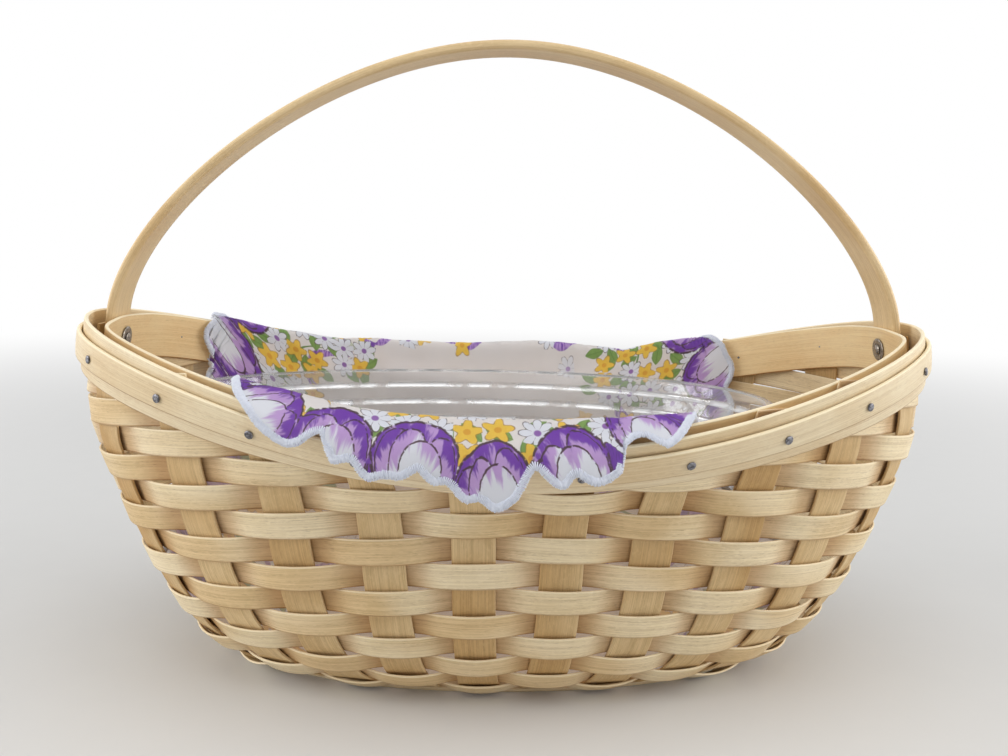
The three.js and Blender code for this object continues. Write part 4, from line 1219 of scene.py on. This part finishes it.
# %% Yellow flowers with five petals and daisies with eight
x, y, cell_x, cell_w, (kind, turn, spare) = motif_cells(print_x, print_w, FLOWER_PITCH, 0.5)
x, y = turned(x, y, turn * 6.283)
radius, around = (x * x + y * y) ** 0.5, y.math("ARCTAN2", x)
past_yellow = radius - (4.6 + 1.5 * (around * 5).wave() + wobble)
past_daisy = radius - (3.9 + 3.3 * (around * 4).wave().size() + wobble * 0.8)
has_flower = flowered(cell_x, cell_w, spare) * kind.under(0.96)
is_yellow = kind.under(0.47) * has_flower
is_daisy = has_flower - is_yellow
petal_lines = line_at((around * 4).wave(), 0.0, 0.18) * inside(radius, 5.4, 0.6) * radius.rise(1.6, 2.6)
eye = inside(radius, 1.5, 0.3)
colour = cotton.coats(
    colour,
    (is_yellow * inside(past_yellow, 0.0, 0.3), cotton.mix(streaks * 0.4, YELLOW, AMBER)),
    (is_yellow * eye, AMBER),
    (is_yellow * line_at(past_yellow, 0.0, 0.42) * broken * 0.7, YELLOW_LINE),
    (is_daisy * inside(past_daisy, 0.0, 0.3), PETAL_WHITE),
    (is_daisy * petal_lines * broken * 0.7, PETAL_LINE),
    (is_daisy * line_at(past_daisy, 0.0, 0.42) * broken * 0.85, INK),
    (is_daisy * eye, DAISY_EYE),
)
print("with flowers:", len(cotton.tree.nodes))

# %% Leaves between the blossoms, and the blossoms along the hem
fringe = edge_in - 8.5 - (edge_run * 0.27).wave() * 4.5 - (edge_run * 0.61).wave() * 2.5 + wobble * 2.0
colour = cotton.coats(
    colour,
    (inside(fringe, 0.0, 0.3), cotton.mix(streaks.rise(0.42, 0.62), PURPLE, DEEP)),
    (line_at(fringe, 0.0, 0.45) * broken, INK),
)
cells = motif_cells(edge_run, edge_in + BLOSSOM_PITCH, BLOSSOM_PITCH, 0.22)
x, y, _, row_in, (tilt, tint, size) = cells
x, y = turned(x, y, (tilt - 0.5) * 1.5)
growth = 0.94 + 0.2 * size
x, y = x / growth, y / growth
first_row = row_in.rise(40.0, 41.0) * (1 - row_in.rise(74.0, 75.0))
from_foot = (y + 17.0).math("ARCTAN2", x) * 6.5, (x * x + y * y) / 400.0, tint * 9.0
rays = cotton.noise(from_foot, 3.0, 0.6)
back_petals = oval(x, y, 0.0, 1.0, 20.5, 16.5) + (rays - 0.5) * 0.16
colour = cotton.coats(
    colour,
    (first_row * inside(back_petals, 1.0), cotton.mix(rays.rise(0.50, 0.62), PURPLE, LILAC)),
    (first_row * line_at(back_petals, 1.0, 0.045) * broken, INK),
)
PETALS = [
    (-10.2, 0.4, 8.0, 12.0, -0.6, 0.3), (10.6, 0.0, 7.8, 11.6, 0.6, 0.34),
    (-3.6, 0.8, 8.2, 12.8, -0.4, 0.04), (2.6, -2.4, 9.8, 11.2, 0.3, -0.24),
]
for middle_x, middle_y, half_x, half_y, lean, depth in PETALS:
    petal = oval(x, y, middle_x, middle_y, half_x, half_y) + (wobble - 0.5) * 0.12
    slant = (x - middle_x) * (lean / half_x) + (y - middle_y) * (0.6 / half_y)
    shade = slant + (rays - 0.5) * 1.7 + depth
    fill = cotton.coats(PETAL_WHITE, (shade.rise(0.0, 0.32), LILAC), (shade.rise(0.6, 0.8), PURPLE))
    outline = first_row * line_at(petal, 1.0, 0.05) * broken
    colour = cotton.coats(colour, (first_row * inside(petal, 1.0), fill), (outline, INK))
print("with blossoms:", len(cotton.tree.nodes))

# %% Finish: printed cotton
BACK_FADE, SEEN_THROUGH, PAINTED_GLOW_STRENGTH = 0.45, 0.28, 0.2
normal = cotton.node("ShaderNodeNewGeometry", output="Normal")
dot = {"operation": "DOT_PRODUCT"}
sides = {0: normal, 1: cotton.attribute("print_side", "Vector")}
back = cotton.node("ShaderNodeVectorMath", dot, sides, output="Value").under(0.0)
colour = cotton.mix(back * BACK_FADE, colour, PAPER)
# painted glow: a warmed emission on the back of the sheet inside the basket, standing in for light from
# inside
painted_glow = cotton.mix(1.0, colour, linear(255, 240, 222), "MULTIPLY")
painted_glow = cotton.mix(back * cotton.attribute("painted_glow_share"), linear(0, 0, 0), painted_glow)
threads = (print_x * 16.0).wave() * (print_w * 16.0).wave()
colour = cotton.mix(threads.size() * 0.05, colour, linear(150, 150, 155))
cotton.set(Base_Color=colour, Emission_Color=painted_glow, Emission_Strength=PAINTED_GLOW_STRENGTH)
cotton.bump(threads + wobble * 1.5, 0.25, 0.00012)
glow = cotton.node("ShaderNodeBsdfTranslucent", {}, {"Color": linear(242, 234, 228)})
cotton.blend(SEEN_THROUGH, cotton.shader, glow)
liner.data.materials.append(cotton.material)
print("nodes of the whole cotton:", len(cotton.tree.nodes))

# %% [markdown]
# ### The embroidered hem
# The scalloped edge is bound with white satin stitch: threads laid side by side across the edge,
# about two and a half thousand of them. One thread is modelled as a small flattened spindle, and
# the tree of copies sets it on every point of the hem, square to the edge and slightly irregular.

# %% Satin stitch along the hem
THREAD_LENGTH, THREAD_WIDTH, THREAD_DEPTH, THREAD_PITCH = 3.8, 0.78, 1.9, 0.6
INSIDE_BASKET = np.array([-24.0, 0.0, 60.0])
thread = lathe("thread", [(0.0, -0.5), (0.72, -0.4), (1.0, 0.0), (0.72, 0.4), (0.0, 0.5)], 6)
thread.data.transform(Matrix((
    (0.0, 0.0, THREAD_LENGTH, 0.0), (THREAD_WIDTH / 2, 0.0, 0.0, 0.0),
    (0.0, THREAD_DEPTH / 2, 0.0, 0.0), (0.0, 0.0, 0.0, 1.0),
)))
hem_line, hem_face = round_the_hem(cloth), round_the_hem(face)
stitch_at = at_even_steps(hem_line, THREAD_PITCH)
stitch_face = unit(soften_loop(at_even_steps(hem_line, THREAD_PITCH, hem_face), 4))
eased = soften_loop(stitch_at, 5)
stitch_ahead = unit(np.roll(eased, -2, 0) - np.roll(eased, 2, 0))
inward = unit(np.cross(stitch_face, stitch_ahead))
inward *= np.sign(np.sum(inward * (INSIDE_BASKET - stitch_at)))
stitch_at = eased * 0.35 + stitch_at * 0.65 + inward * (THREAD_LENGTH * 0.3)
floss = Finish("white_floss", Roughness=0.5, IOR=1.45)
floss_noise = floss.noise(floss.place(), scale=900.0)
floss.set(Base_Color=floss.mix(floss_noise, linear(237, 241, 250), linear(208, 213, 228)))
floss.bump(floss_noise, 0.3, 0.0002)
embroidery = copies("embroidered_hem", stitch_at, inward, stitch_face, thread, floss, 0.1, 0.09)
print("threads:", len(stitch_at))

# %% Liner on the basket
settle(liner, "basket", "cloth", "cloth_liner")
settle(embroidery, "basket", "cloth")
print("hem:", len(embroidery.data.polygons), "faces")

# %% [markdown]
# ## Clear tub
# The tub is one thin sheet of clear plastic, drawn by heat over a form. Its wall steps in at
# several levels, which stiffens it, and ends in a narrow flat lip. It is made as a lofted shell
# with a rounded bead at each step, because those beads are what the light catches. The plastic
# itself is nearly invisible: it is a mix of a clear shader and a glossy one, and the glossy share
# rises where the sheet is seen at a slant and in a faint haze. Along the beads and the lip the
# share is raised further, which paints a white highlight line on them.

# %% Shell of the tub
TUB_MIDDLE, TUB_FLOOR, TUB_TOP, TUB_DRAW, TUB_LIP = -24.0, 8.51, 137.68, 1.3, 4.0
TUB_TOP_HALF, TUB_FLOOR_HALF = np.array([158.8, 95.1]), np.array([84.0, 42.0])
TUB_PLASTIC, TUB_CORNER, TUB_SIDES = 0.7, 9.0, 216
STEP_LEVELS, STEP_DEPTH = (129.0, 119.0, 109.0, 99.0), 1.1


def tub_ring(z, inset):
    share = (1.0 - (z - TUB_FLOOR) / (TUB_TOP - TUB_FLOOR)) ** TUB_DRAW
    half = TUB_TOP_HALF + (TUB_FLOOR_HALF - TUB_TOP_HALF) * share - inset
    return oval_ring(half, z, TUB_SIDES, TUB_MIDDLE)


def tub_profile():
    """Height and inset of each ring, from the lip down to the middle of the floor."""
    rings = [(TUB_TOP - 1.4, -TUB_LIP), (TUB_TOP - 0.5, -TUB_LIP + 0.1), (TUB_TOP, -TUB_LIP + 0.9)]
    rings += [(TUB_TOP, -0.4), (TUB_TOP - 0.4, 0.5), (TUB_TOP - 1.6, 0.9)]
    inset = 0.9
    for level in STEP_LEVELS:
        rings += [(level + 2.2, inset), (level + 0.9, inset - 0.15), (level, inset - 0.5)]
        inset += STEP_DEPTH * 0.35
        rings += [(level - 0.9, inset + 0.5), (level - 1.8, inset + 0.9)]
        inset += 0.3
    low = np.linspace(STEP_LEVELS[-1] - 8.0, TUB_FLOOR + TUB_CORNER, 14)
    rings += [(z, inset) for z in low]
    for turn in np.radians(np.arange(12.0, 91.0, 13.0)):
        up, inward = TUB_CORNER * (1 - math.sin(turn)), TUB_CORNER * (1 - math.cos(turn))
        rings.append((TUB_FLOOR + up, inset + inward))
    return rings + [(TUB_FLOOR, inset + TUB_CORNER + reach) for reach in (4.0, 12.0, 22.0)]


profile = tub_profile()
tub_rings = [tub_ring(z, inset) for z, inset in profile]
tub_points = np.vstack([*tub_rings, [TUB_MIDDLE, 0.0, TUB_FLOOR]])
tub_points[:, 2] += TUB_PLASTIC / 2
numbers = np.arange(len(profile) * TUB_SIDES).reshape(-1, TUB_SIDES)
hub = [numbers.size] * TUB_SIDES
# rings at a bead or at the lip carry a painted highlight in the plastic
bead_highlight = [float(min(abs(z - level) for level in STEP_LEVELS) < 1.0) for z, _ in profile]
bead_highlight[:3] = [1.4] * 3
bead_highlight = np.append(np.repeat(bead_highlight, TUB_SIDES), 0.0)
tub_faces = ring_faces([hub, *numbers[::-1].tolist()])
tub = new_object("clear_drawn_tub", tub_points * MM, faces=tub_faces, attributes={"bead_highlight": bead_highlight})
give_thickness(tub, TUB_PLASTIC)
print("tub:", len(profile), "rings, inside", np.ptp(tub_rings[5], axis=0).round(), "mm")

# %% Finish: clear plastic
plastic = Finish("clear_plastic", Base_Color=linear(244, 246, 248), Metallic=0.35, Roughness=0.12)
haze = plastic.noise(plastic.place(), 3.0, scale=26.0)
ripple = plastic.noise(plastic.place(), 2.0, scale=70.0)
plastic.bump(ripple, 0.5, 0.0012)
facing = plastic.node("ShaderNodeLayerWeight", {}, {"Blend": 0.5}, output="Facing")
# painted highlight: the beads and the lip take a larger share of the white glossy shader
painted_bead_highlight = plastic.attribute("bead_highlight") * ripple.rise(0.35, 0.6)
share = 0.05 + facing ** 4.0 * 0.65 + haze * 0.12 + painted_bead_highlight * 0.6
clear = plastic.node("ShaderNodeBsdfTransparent", {}, {"Color": linear(252, 252, 252)})
plastic.blend(share, clear, plastic.shader)
tub.data.materials.append(plastic.material)
settle(tub, "tub", "tub", "clear_tub")
print("clear plastic:", len(plastic.tree.nodes), "nodes")

# %% [markdown]
# ## Floor and light
# A plain pale floor and three large soft lamps, at a level where a colour renders about as it is
# written. The world is white to the camera and to reflections, and dimmer to everything else, so
# the background is white without throwing more light on the basket.

# %% Floor
FLOOR_HALF, FADE_START, FADE_END = 3.0, 0.35, 1.9
corners = [(x * FLOOR_HALF, y * FLOOR_HALF, 0.0) for x, y in ((-1, -1), (1, -1), (1, 1), (-1, 1))]
floor = new_object("plain_floor", corners, faces=[(0, 1, 2, 3)])
pale = Finish("pale_floor", Roughness=0.85)
grain = pale.noise(pale.place(), 3.0, scale=40.0)
pale.set(Base_Color=pale.mix(grain * 0.3, linear(222, 222, 221), linear(214, 214, 213)))
far = pale.node("ShaderNodeVectorMath", {"operation": "LENGTH"}, {0: pale.place()}, output="Value")
white = pale.node("ShaderNodeEmission", {}, {"Strength": 1.0})
pale.blend(far.rise(FADE_START, FADE_END) * pale.looked_at(), pale.shader, white)
floor.data.materials.append(pale.material)
print("floor:", 2 * FLOOR_HALF, "m to a side")


# %% Lamps and world
def soft_lamp(name, place, size, power):
    data = bpy.data.lights.new(name, "AREA")
    data.shape, data.size, data.energy = "SQUARE", size, power
    lamp = put(name, data)
    lamp.location = place
    lamp.rotation_euler = (LAMP_AIM - Vector(place)).to_track_quat("-Z", "Y").to_euler()


LAMP_AIM, SKY_LIGHT = Vector((0.0, 0.0, 0.1)), 0.37
soft_lamp("window_left", (-1.65, -0.3, 0.66), 1.1, 17.0)
soft_lamp("window_right", (1.65, -0.3, 0.66), 1.1, 17.0)
soft_lamp("ceiling", (0.0, -0.45, 1.85), 1.4, 11.0)

world = bpy.data.worlds.new("studio")
world.use_nodes = True
background = world.node_tree.nodes["Background"]
feed(background.inputs["Color"], (1.0, 1.0, 1.0, 1.0))
strength = Graph(world.node_tree).looked_at() * (1.0 - SKY_LIGHT) + SKY_LIGHT
feed(background.inputs["Strength"], strength)
bpy.context.scene.world = world
bpy.context.scene.view_settings.view_transform = "Standard"
print("lamps:", ", ".join(lamp.name for lamp in bpy.data.lights))

# %% [markdown]
# ## The end
# The sections and single nails were only tools, so they go.

# %% The end
for tool in TOOLS:
    bpy.data.objects.remove(tool)
